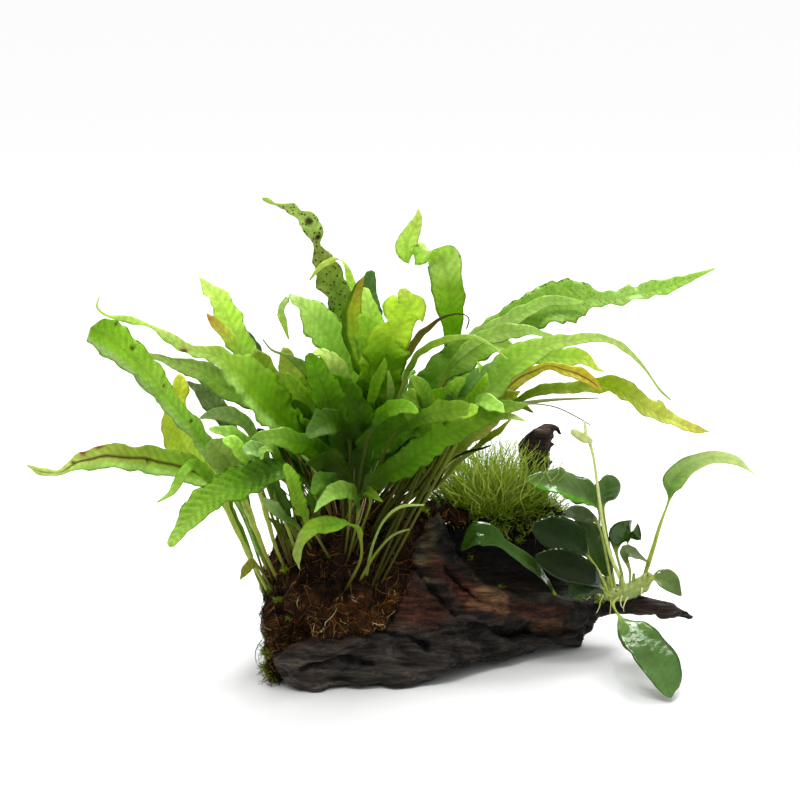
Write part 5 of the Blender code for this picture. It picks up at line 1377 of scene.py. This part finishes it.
    "filling three": dict(
        shades=("#3c5c10", "#54801c", "#74a034"), ruffle=1.8,
        foot=(322, 545, -20), route=(
        (316, 522, -26, 3), (314, 500, -30, 7), (320, 484, -32, 8), (330, 474, -33, 2))),
    "hair": dict(
        shades=("#7c8460", "#8c9070"), stalk="#7c8460", foot_shade="#5c6030", ruffle=0.0, fold=0.0, twist=0.0,
        route=(
        (490, 424, 10, 1.2), (512, 408, 10, 1.1), (532, 404, 10, 1), (555, 407, 10, 1), (575, 416, 10, 1),
        (592, 426, 10, 1))),
    "back bud left": dict(
        shades=("#5f9a20", "#86bd44", "#9ccb5c"), ruffle=1.2,
        spread=0.0, route=(
        (355, 485, 40, 2.5), (350, 462, 58, 10), (347, 452, 76, 13), (345, 456, 92, 9),
        (344, 466, 104, 2))),
    "back bud right": dict(
        shades=("#558f1c", "#7fb53e", "#9ccb5c"), ruffle=1.2,
        spread=0.0, route=(
        (381, 490, 44, 2.5), (388, 468, 62, 10), (394, 458, 80, 13), (398, 462, 95, 9),
        (402, 474, 108, 2))),
}

young = [grow_leaf("young_" + name.replace(" ", "_"), seed=60 + index, **shape)
         for index, (name, shape) in enumerate(YOUNG_FERN_LEAVES.items())]
# Leaves crowded in the heart of the clump, in dark greens that are painted shade.
CROWD_COUNT = 40
CROWD_SHADES = (("#1f3d04", "#2a5206", "#356408"), ("#24460a", "#35660a", "#457a14"),
                ("#2a4f10", "#3f7a1a", "#5a9a2a"))
SHADED_STALK = "#4a5c1c"
SHADED_FOOT = "#3a3414"
inner = []
rng = random.Random(23)
for index in range(CROWD_COUNT):
    across = rng.uniform(300, 435)
    depth = rng.uniform(-18, 45)
    tip = rng.uniform(372, 446)
    lean = (across - 365) * 0.55 + rng.uniform(-22, 22)
    inner.append(grow_leaf(
        "shaded_%d" % index, seed=200 + index, shades=rng.choice(CROWD_SHADES), spread=0.3, ruffle=1.6,
        half_ring=6, stalk=SHADED_STALK, foot_shade=SHADED_FOOT,
        route=((across, 480, depth, 2.5), (across + lean * 0.3, tip + 42, depth, rng.uniform(8, 12)),
               (across + lean * 0.7, tip + 14, depth, rng.uniform(7, 11)), (across + lean, tip, depth, 2))))
young = joined("young_fern_leaves", young)
ready(young, fern_blade)
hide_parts("fern_root_mat")
inner = joined("shaded_inner_fern_leaves", inner)
ready(inner, fern_blade)
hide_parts("fern_root_mat")


# The moss: a tuft of java moss in the crook of the stub, a springy tangle of thin fronds that cling by
# brown threads and reach for the light.
MOSS_FOOT = (492.0, 512.0, 40.0)        # pixels and depth in mm
MOSS_HALF_WIDTH = 52.0                  # pixels
MOSS_HEIGHT = 47.0 * MM
FROND_COUNT = 1050
SCRAP_COUNT = 1300
FROND_RADIUS = 0.52 * MM
# Scraps of moss on the root mat and the wood: pixel across, pixel down, depth and reach in mm
MOSS_SCRAPS = (
    (266, 668, -36, 5.0), (266, 652, -34, 4.0), (270, 655, -38, 3.5), (272, 676, -38, 4.0),
    (268, 636, -30, 3.0), (269, 618, -25, 3.0), (272, 604, -20, 3.0), (270, 588, -18, 2.5),
    (285, 570, -26, 2.5), (296, 660, -46, 2.5), (310, 648, -48, 2.0), (335, 642, -48, 2.0),
    (278, 600, -28, 2.5), (290, 618, -36, 2.5), (555, 598, 2, 3.0), (580, 596, 2, 3.5),
    (600, 600, 2, 3.0), (500, 588, 4, 2.5), (470, 556, 22, 3.0), (520, 540, 30, 4.0),
    (545, 535, 28, 4.0), (470, 528, 30, 4.0), (495, 532, 30, 4.0), (585, 585, 20, 4.0),
    (555, 572, 26, 3.5), (380, 640, -36, 2.0), (425, 510, 4, 3.0), (436, 506, 14, 4.0),
)

moss_forms = add_limb((446, 508, 34, 7, 0.9), (470, 508, 40, 9, 0.9), (500, 512, 40, 10, 0.8),
                      (530, 510, 38, 8, 0.8), (556, 512, 30, 5, 0.8))
moss_core = joined("moss_core", moss_forms)
one_skin(moss_core, 2.0 * MM)
core_points = points_of(moss_core.data)
core_push = noise_at(core_points, 6.0 * MM) * 2.5 * MM
core_points = core_points + normals_of(moss_core.data) * core_push[:, None]
move_points(moss_core.data, core_points)
paint(moss_core.data, shade=0.02 + 0.12 * noise_at(core_points, 4.0 * MM))
frond_routes = []
frond_radii = []
frond_shades = []
rng = random.Random(11)


def add_frond(start, end, curl, radius, shade):
    """One frond: it waves as it goes, and bends outwards near its tip."""
    sway = Vector((rng.uniform(-1, 1), rng.uniform(-1, 1), rng.uniform(-0.4, 0.6))) * curl
    wave = Vector((rng.uniform(-1, 1), rng.uniform(-1, 1), 0.0)) * curl * 0.35
    turns = rng.uniform(1.0, 2.2)
    turned = rng.uniform(0.0, math.tau)
    frond_routes.append([start.lerp(end, share) + sway * math.sin(share * math.pi * 0.85)
                         + wave * (math.sin(share * turns * math.tau + turned) - math.sin(turned))
                         for share in (0.0, 0.14, 0.28, 0.43, 0.57, 0.71, 0.86, 1.0)])
    frond_radii.append(radius)
    frond_shades.append(shade)


for _ in range(FROND_COUNT):
    aside = max(-1.25, min(1.05, rng.gauss(0.0, 0.5)))
    start = sight(MOSS_FOOT[0] + aside * MOSS_HALF_WIDTH * 0.72, MOSS_FOOT[1] + rng.uniform(-6, 6),
                  MOSS_FOOT[2] + rng.uniform(-14, 12)) - ORIGIN_SHIFT
    lean = aside * 0.6 + rng.gauss(0.0, 0.3)
    rise = Vector((lean, rng.gauss(-0.1, 0.35), 1.0)).normalized()
    length = MOSS_HEIGHT * (1.0 - 0.25 * aside * aside) * rng.uniform(0.4, 1.05)
    end = start + rise * length + Vector((lean * 6.0 * MM, 0.0, 0.0))
    add_frond(start, end, rng.uniform(4.0, 12.0) * MM, FROND_RADIUS * rng.uniform(0.6, 1.3),
              0.45 + 0.6 * rng.random())
core_normals = normals_of(moss_core.data)
for _ in range(SCRAP_COUNT):
    index = rng.randrange(len(core_points))
    start = Vector(core_points[index])
    out = Vector(core_normals[index])
    end = start + (out + Vector((rng.uniform(-1, 1), rng.uniform(-1, 1), rng.uniform(-1, 0.8)))) * rng.uniform(3.0, 9.0) * MM
    add_frond(start, end, 3.0 * MM, FROND_RADIUS * rng.uniform(0.5, 0.9), rng.uniform(0.25, 0.9))
fronds = lay_strands("fronds", strand_form(3, 7), frond_routes, frond_radii, frond_shades, tip=0.3, flatness=0.6,
                     foot=0.5)
frond_routes.clear()
frond_radii.clear()
frond_shades.clear()
for across, down, depth, reach in MOSS_SCRAPS:
    middle = sight(across, down, depth) - ORIGIN_SHIFT
    for _ in range(int(reach * 34)):
        out = Vector((rng.gauss(-0.2, 1.0), rng.gauss(-0.3, 1.0), rng.gauss(0.1, 1.0))).normalized() * reach * MM
        end = middle + out * rng.uniform(0.5, 1.1)
        end.z = max(end.z, 0.5 * MM)
        add_frond(middle + out * rng.uniform(0.0, 0.4), end, 2.0 * MM, 0.19 * MM, rng.uniform(0.15, 0.7))
scraps = lay_strands("scraps", strand_form(3, 4), frond_routes, frond_radii, frond_shades, tip=0.3, flatness=0.6)

# Java moss: soft living fronds a few cells thick. The eye sees a yellow-green tangle, olive and brown
# inside, with a faint sparkle of water.
java_moss, tree = new_material("java moss, wet")
shade = add_node(tree, "ShaderNodeAttribute", {"attribute_name": "shade"})
place = add_node(tree, "ShaderNodeTexCoord").outputs["Object"]
fuzz = add_node(tree, "ShaderNodeTexNoise", Vector=place, Scale=1.0 / (3.0 * MM), Detail=4.0)
mixed = add_node(tree, "ShaderNodeMath", {"operation": "MULTIPLY_ADD"}, _0=fuzz.outputs[0], _1=0.25,
                 _2=shade.outputs["Fac"])
green = add_node(tree, "ShaderNodeValToRGB", Fac=mixed.outputs[0])
set_ramp(green, (0.15, "#241c06"), (0.3, "#4c5406"), (0.46, "#7c9a10"), (0.66, "#a8c82c"), (0.92, "#ccdc68"))
skin = add_node(tree, "ShaderNodeBsdfPrincipled", Base_Color=green.outputs[0], Roughness=0.5,
                Specular_IOR_Level=0.2)
glow = add_node(tree, "ShaderNodeBsdfTranslucent", Color=green.outputs[0])
both = add_node(tree, "ShaderNodeMixShader", Fac=0.35, _1=skin.outputs[0], _2=glow.outputs[0])
add_node(tree, "ShaderNodeOutputMaterial", Surface=both.outputs[0])
moss = joined("java_moss_tuft", [moss_core, fronds])
ready(moss, java_moss)
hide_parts("moss_tuft")
scraps.name = "java_moss_scraps"
ready(scraps, java_moss)
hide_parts("moss_tuft")


# The anubias: a dwarf anubias whose creeping stem is wedged over the wood's right end. The stem is
# fleshy, its leaves are thick, stiff and very glossy on green stalks, and cream roots grip the wood.
RHIZOME_MIDDLE = (625.0, 594.0, 10.0)
RHIZOME_LENGTH = 37.0
RHIZOME_SLOPE = 0.3
RHIZOME_FAN_ACROSS = 0.6
RHIZOME_FAN_DEPTH = 0.3
ANUBIAS_STALK = "#8fa045"
ANUBIAS_FOOT = "#a9b45c"


def rhizome_foot(route):
    """Where on the creeping stem a leaf's stalk stands."""
    middle_across, middle_down, middle_depth = RHIZOME_MIDDLE
    along = RHIZOME_FAN_ACROSS * (route[0][0] - middle_across)
    along = max(-RHIZOME_LENGTH / 2.0, min(RHIZOME_LENGTH / 2.0, along))
    depth = middle_depth + RHIZOME_FAN_DEPTH * (route[0][2] - middle_depth)
    return (middle_across + along, middle_down - RHIZOME_SLOPE * along, depth)


def grow_anubias_leaf(name, shape, seed):
    placed = dict(shape)
    placed.setdefault("foot", rhizome_foot(shape["route"]))
    return grow_leaf(name, seed=seed, spread=0.0, stalk=ANUBIAS_STALK, foot_shade=ANUBIAS_FOOT, edge=0.03,
                     veins=0.08, twist=0.4, fold=0.22, sap=(1.0, 1.0, 0.7), **placed)


ANUBIAS_LEAVES = {
    # Its pale grey-greens are partly painted sheen.
    "upper_left": dict(
        shades=("#3a5626", "#50693f", "#587044", "#5c7648"),
        left="#4f8a1a", ruffle=1.0,
        route=(
        (606, 560, 20, 2.2), (600, 530, 26, 2), (598, 508, 27, 2.6), (586, 494, 26, 17),
        (564, 486, 23, 21), (542, 482, 20, 13), (524, 479, 18, 1.5)), face=(0.2, -0.5, 0.8)),
    "upper_right": dict(
        shades=("#2c4818", "#3c5a2a", "#546c46"),
        ruffle=0.8,
        route=(
        (612, 570, 24, 2.2), (607, 535, 30, 2), (603, 506, 34, 3), (604, 496, 35, 15),
        (608, 484, 37, 15), (607, 474, 39, 4)), face=(0.3, -0.8, 0.4)),
    "large_dark": dict(
        shades=("#1a2c10", "#122406", "#162808"),
        ruffle=0.8,
        route=(
        (600, 574, -2, 2.2), (588, 556, -4, 3), (574, 542, -6, 20), (554, 535, -7, 23),
        (540, 530, -8, 14), (531, 526, -8, 3)), face=(0.0, -0.6, 0.7)),
    "beside_stalk": dict(
        shades=("#2a4612", "#304620", "#2c3a1c"),
        ruffle=0.8,
        route=(
        (611, 580, 13, 2.4), (603, 562, 14, 15), (592, 542, 14, 21), (580, 528, 14, 13),
        (574, 521, 14, 3)), face=(0.3, -0.7, 0.6)),
    "low_dark": dict(
        shades=("#121c09", "#101a08", "#142009"),
        ruffle=0.6,
        foot=(608, 598, 0), route=(
        (602, 588, -10, 2.2), (590, 576, -16, 14), (566, 566, -19, 19), (546, 560, -21, 12),
        (534, 556, -22, 2)), face=(0.0, -0.7, 0.6)),
    "far_left": dict(
        shades=("#2c4010", "#26380e", "#34501e", "#2a4812", "#223c0c"),
        ruffle=0.8,
        foot=(556, 596, 2), route=(
        (544, 578, -14, 6), (526, 561, -20, 9), (506, 546, -23, 7), (493, 536, -25, 12),
        (478, 535, -26, 15), (466, 545, -26, 7), (460, 551, -26, 1)), face=(0.0, -0.7, 0.7)),
    "right_curled": dict(
        shades=("#304c14", "#2c4814", "#20380c"),
        ruffle=1.2,
        route=(
        (622, 575, 18, 2.2), (616, 550, 19, 3), (619, 535, 20, 13), (630, 532, 20, 13),
        (641, 540, 20, 2)), face=(0.1, -0.8, 0.5)),
    "right_oval": dict(
        shades=("#54683c", "#50643a", "#465832"),
        ruffle=0.4,
        route=(
        (652, 578, 4, 3), (661, 578, 3, 13), (671, 584, 2, 15), (682, 596, 1, 2)),
        face=(0.3, -0.6, 0.7)),
    # Its paler greens are partly painted sheen.
    "drooping": dict(
        shades=("#5c7c40", "#3f5c2a", "#36521f", "#46663a", "#4a6838"),
        ruffle=0.6,
        foot=(620, 597, 6), route=(
        (613, 604, -6, 2.5), (620, 617, -15, 3), (633, 631, -27, 21), (651, 655, -45, 28),
        (664, 679, -61, 21), (668, 692, -69, 9), (671, 698, -73, 2)), face=(0.3, -0.7, 0.6)),
    "high_curled": dict(
        shades=("#5c8040", "#86a85c", "#a8c07c", "#b8cc90", "#a0b870"),
        ruffle=0.5,
        route=(
        (649, 562, 14, 3.4), (659, 528, 16, 2.8), (669, 500, 18, 2.2), (672, 484, 18, 12, 10),
        (686, 467, 18, 11, 40), (712, 457, 18, 7.5, 50), (737, 461, 18, 5.5, 45), (756, 476, 18, 1.5)),
        face=(-0.3, -0.7, 0.7)),
}

SMALL_ANUBIAS_LEAVES = {
    "upper small": dict(
        shades=("#304018", "#3c5024", "#344c14"),
        ruffle=0.4,
        route=(
        (606, 555, 9, 2), (598, 524, 11, 2), (588, 517, 12, 8), (575, 513, 12, 9), (563, 515, 12, 2))),
    "right small": dict(
        shades=("#506838", "#5a6c44", "#506438"),
        ruffle=0.6,
        route=(
        (630, 572, 12, 2), (624, 552, 12, 6), (634, 554, 12, 11), (650, 563, 12, 2))),
    "low small": dict(
        shades=("#1a240a", "#243a14", "#2a4a18"),
        ruffle=0.5,
        route=(
        (606, 594, -8, 2), (594, 586, -15, 11), (578, 588, -18, 12), (570, 598, -19, 3))),
}

FLOWER_STALK = (
    (627, 590, 8, 3.0), (613, 562, 7, 2.6), (604, 530, 6, 2.4), (598, 490, 5, 2.2),
    (594, 460, 4, 2.0), (589, 440, 4, 2.4))


# Anubias blade: a thick leaf under a hard, polished cuticle. The eye sees deep bottle green with fine
# parallel veins and broad milky reflections.
anubias_blade, tree = new_material("anubias leaf, glossy")
channels = [add_node(tree, "ShaderNodeAttribute", {"attribute_name": name}).outputs["Fac"]
            for name in ("red", "green", "blue")]
leaf_colour = add_node(tree, "ShaderNodeCombineColor", Red=channels[0], Green=channels[1], Blue=channels[2])
place = add_node(tree, "ShaderNodeTexCoord").outputs["Object"]
clouds = add_node(tree, "ShaderNodeTexNoise", Vector=place, Scale=1.0 / (6.0 * MM), Detail=3.0)
shading = add_node(tree, "ShaderNodeMapRange", Value=clouds.outputs[0], From_Min=0.3, From_Max=0.7,
                   To_Min=0.85, To_Max=1.15)
toned = add_node(tree, "ShaderNodeMix", {"data_type": "RGBA", "blend_type": "MULTIPLY"}, _0=1.0,
                 _6=leaf_colour.outputs[0], _7=shading.outputs[0])
bump = add_node(tree, "ShaderNodeBump", Height=clouds.outputs[0], Strength=0.35, Distance=1.0 * MM)
shader = add_node(tree, "ShaderNodeBsdfPrincipled", Base_Color=toned.outputs[2], Roughness=0.16,
                  Specular_IOR_Level=0.45, Specular_Tint=(0.8, 1.0, 0.7, 1.0), Normal=bump.outputs[0])
add_node(tree, "ShaderNodeOutputMaterial", Surface=shader.outputs[0])

for seed, (name, shape) in enumerate(ANUBIAS_LEAVES.items(), 100):
    leaf = grow_anubias_leaf("anubias_blade_" + name, shape, seed)
    ready(leaf, anubias_blade)
    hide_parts("anubias_leaf_" + name)

# Anubias stem: fleshy green tissue, smooth and moist. The eye sees pale yellow-green with a soft shine,
# going cream at the roots.
fleshy_stem, tree = new_material("anubias stem, fleshy")
channels = [add_node(tree, "ShaderNodeAttribute", {"attribute_name": name}).outputs["Fac"]
            for name in ("red", "green", "blue")]
stem_colour = add_node(tree, "ShaderNodeCombineColor", Red=channels[0], Green=channels[1], Blue=channels[2])
place = add_node(tree, "ShaderNodeTexCoord").outputs["Object"]
clouds = add_node(tree, "ShaderNodeTexNoise", Vector=place, Scale=1.0 / (2.5 * MM), Detail=4.0)
shading = add_node(tree, "ShaderNodeMapRange", Value=clouds.outputs[0], From_Min=0.3, From_Max=0.7,
                   To_Min=0.8, To_Max=1.15)
toned = add_node(tree, "ShaderNodeMix", {"data_type": "RGBA", "blend_type": "MULTIPLY"}, _0=1.0,
                 _6=stem_colour.outputs[0], _7=shading.outputs[0])
shader = add_node(tree, "ShaderNodeBsdfPrincipled", Base_Color=toned.outputs[2], Roughness=0.4,
                  Subsurface_Weight=0.0)
add_node(tree, "ShaderNodeOutputMaterial", Surface=shader.outputs[0])


STEM_BASE_COUNT = 14
ANUBIAS_ROOTS = (               # pixel across, pixel down, depth in mm, how far down it reaches in pixels
    (599, 592, 4, 21), (604, 594, 2, 9), (622, 596, 3, 12), (628, 597, 2, 15), (590, 590, 8, 10),
    (611, 598, 0, 17), (642, 588, 4, 7))


def paint_all(piece, hex_colour):
    shade = linear(hex_colour)
    count = len(piece.data.vertices)
    paint(piece.data, red=np.full(count, shade[0]), green=np.full(count, shade[1]),
          blue=np.full(count, shade[2]), speckle=np.zeros(count))


stem = joined("stem", add_limb((604, 597, 10, 4, 1.0), (625, 593, 10, 5, 1.0), (640, 586, 10, 5, 1.0),
                               (648, 578, 10, 3.5, 1.0)))
one_skin(stem, 0.8 * MM)
stem_points = points_of(stem.data)
rings = np.sin(stem_points[:, 0] / (3.4 * MM) * 2.0 * math.pi + 3.0 * noise_at(stem_points, 8.0 * MM)) * 0.2 * MM
stem_points = stem_points + normals_of(stem.data) * (rings + noise_at(stem_points, 4.0 * MM) * 0.6 * MM)[:, None]
move_points(stem.data, stem_points)
paint_all(stem, "#8c9c50")
base_routes = []
base_radii = []
for _ in range(STEM_BASE_COUNT):
    across = rng.uniform(600, 650)
    start = sight(across, 596 - (across - 600) * 0.3, rng.uniform(6, 14)) - ORIGIN_SHIFT
    lean = (across - 622) * 0.35 + rng.uniform(-10, 10)
    end = sight(across + lean, 596 - (across - 600) * 0.3 - rng.uniform(7, 20), rng.uniform(4, 18)) - ORIGIN_SHIFT
    base_routes.append([start.lerp(end, share) + Vector((lean * 0.1, 0.0, 0.0)) * MM * math.sin(share * math.pi)
                        for share in (0.0, 0.33, 0.67, 1.0)])
    base_radii.append(rng.uniform(0.8, 1.7) * MM)
stem_bases = lay_strands("stem_bases", strand_form(8, 6), base_routes, base_radii, [0.0] * len(base_routes), tip=0.5)
paint_all(stem_bases, "#9cac50")
root_routes = []
root_radii = []
for across, down, depth, reach in ANUBIAS_ROOTS:
    start = sight(across, down, depth)
    end = sight(across + rng.uniform(-5, 5), down + reach, depth - 4.0)
    bow = Vector((rng.uniform(-2, 2), -1.5, 0.0)) * MM
    root_routes.append([start.lerp(end, share) + bow * math.sin(share * math.pi) - ORIGIN_SHIFT
                        for share in (0.0, 0.33, 0.67, 1.0)])
    root_radii.append(rng.uniform(0.35, 0.6) * MM)
cream_roots = lay_strands("cream_roots", strand_form(6, 6), root_routes, root_radii, [0.0] * len(root_routes), tip=0.4)
paint_all(cream_roots, "#ccd08a")
small_leaves = [grow_anubias_leaf("small_" + name.replace(" ", "_"), shape, 120 + index)
                for index, (name, shape) in enumerate(SMALL_ANUBIAS_LEAVES.items())]
rhizome = joined("anubias_stem_and_small_leaves", [stem, stem_bases, cream_roots] + small_leaves)
ready(rhizome, fleshy_stem)
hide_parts("anubias_rhizome")

flower_stalk = grow_leaf("flower_stalk", seed=130, shades=("#b4c47c", "#c0cc8c"), stalk="#b8c484",
                         foot_shade="#a9b45c", spread=0.0, fold=0.0, ruffle=0.0, edge=0.0, veins=0.0,
                         foot=(630, 598, 8), route=FLOWER_STALK)
flower_bud = joined("flower_bud", add_limb((590, 441, 4, 1.8, 1.0), (584, 438, 4, 2.9, 1.0),
                                           (577, 434, 4, 2.5, 1.0), (574, 432, 4, 2.2, 1.0)))
one_skin(flower_bud, 0.6 * MM)
paint_all(flower_bud, "#c4cc80")
flower_spike = joined("flower_spike", add_limb((586, 436, 4, 1.2, 1.0), (585, 422, 4, 0.8, 1.0)))
one_skin(flower_spike, 0.6 * MM)
paint_all(flower_spike, "#d4dc9c")
flower = joined("anubias_flower_and_stalk", [flower_stalk, flower_bud, flower_spike])
ready(flower, fleshy_stem)
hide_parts("anubias_flower")


# The photograph's setting: a camera at its viewing angle, a plain pale floor and soft studio light from
# above and from behind, so that the leaves glow.
SENSOR = 36.0
PHOTO_PIXELS = 800.0
camera_data = bpy.data.cameras.new("photograph")
camera_data.sensor_width = SENSOR
camera_data.lens = SENSOR * VIEW_DISTANCE / (PHOTO_PIXELS * PIXEL)
camera_data.clip_start = 0.01
camera_data.clip_end = 200.0
camera = bpy.data.objects.new("photograph", camera_data)
bpy.context.scene.collection.objects.link(camera)
camera.location = EYE - ORIGIN_SHIFT
camera.rotation_euler = VIEW_FORWARD.to_track_quat("-Z", "Y").to_euler()
bpy.context.scene.camera = camera

FLOOR_SIZE = 80.0
NEAR_FLOOR = 0.28
FAR_FLOOR = 0.9
bpy.ops.object.select_all(action="DESELECT")
bpy.ops.mesh.primitive_plane_add(size=FLOOR_SIZE)
floor = bpy.context.active_object
floor.name = "floor"
paper, tree = new_material("white paper")
place = add_node(tree, "ShaderNodeTexCoord").outputs["Object"]
away = add_node(tree, "ShaderNodeVectorMath", {"operation": "LENGTH"}, _0=place)
# Painted light: the floor is paler with distance from the plant, keeping the far floor as bright as the lamp-lit floor
# near it.
white = add_node(tree, "ShaderNodeMapRange", Value=away.outputs["Value"], From_Min=NEAR_FLOOR, From_Max=FAR_FLOOR,
                 To_Min=0.72, To_Max=0.81)
shader = add_node(tree, "ShaderNodeBsdfPrincipled", Base_Color=white.outputs[0], Roughness=0.9,
                  Specular_IOR_Level=0.1)
add_node(tree, "ShaderNodeOutputMaterial", Surface=shader.outputs[0])
floor.data.materials.append(paper)

BRIGHTEST_SKY = (0.0, 0.42, 0.91)
MIRRORED_SKY = 0.3              # a wet leaf mirrors the dark room between the lamps
world = bpy.data.worlds.new("soft room")
world.use_nodes = True
tree = world.node_tree
sky = add_node(tree, "ShaderNodeVectorMath", {"operation": "DOT_PRODUCT"}, _1=BRIGHTEST_SKY,
               _0=add_node(tree, "ShaderNodeTexCoord").outputs["Generated"])
sky_strength = add_node(tree, "ShaderNodeMapRange", Value=sky.outputs["Value"], From_Min=-0.3, From_Max=0.9,
                        To_Min=0.25, To_Max=1.55)
in_mirror = add_node(tree, "ShaderNodeMapRange", Value=add_node(tree, "ShaderNodeLightPath").outputs["Is Glossy Ray"],
                     To_Min=1.0, To_Max=MIRRORED_SKY)
shown_sky = add_node(tree, "ShaderNodeMath", {"operation": "MULTIPLY"}, _0=sky_strength.outputs[0],
                     _1=in_mirror.outputs[0])
tree.nodes["Background"].inputs["Color"].default_value = (1.0, 1.0, 1.0, 1.0)
tree.links.new(shown_sky.outputs[0], tree.nodes["Background"].inputs["Strength"])
bpy.context.scene.world = world


def add_softbox(name, place, size, power):
    light_data = bpy.data.lights.new(name, "AREA")
    light_data.shape = "SQUARE"
    light_data.size = size
    light_data.energy = power
    light = bpy.data.objects.new(name, light_data)
    bpy.context.scene.collection.objects.link(light)
    light.location = place
    light.rotation_euler = (Vector((0.0, 0.0, 0.1)) - Vector(place)).to_track_quat("-Z", "Y").to_euler()


add_softbox("top front", (-0.25, -0.5, 1.3), 0.5, 7.0)
add_softbox("behind", (0.3, 0.8, 1.1), 0.6, 12.0)
add_softbox("glints", (0.15, -0.35, 1.2), 0.14, 2.5)
add_softbox("back glints", (0.15, 0.75, 1.0), 0.16, 3.0)

bpy.context.scene.view_settings.view_transform = "Standard"
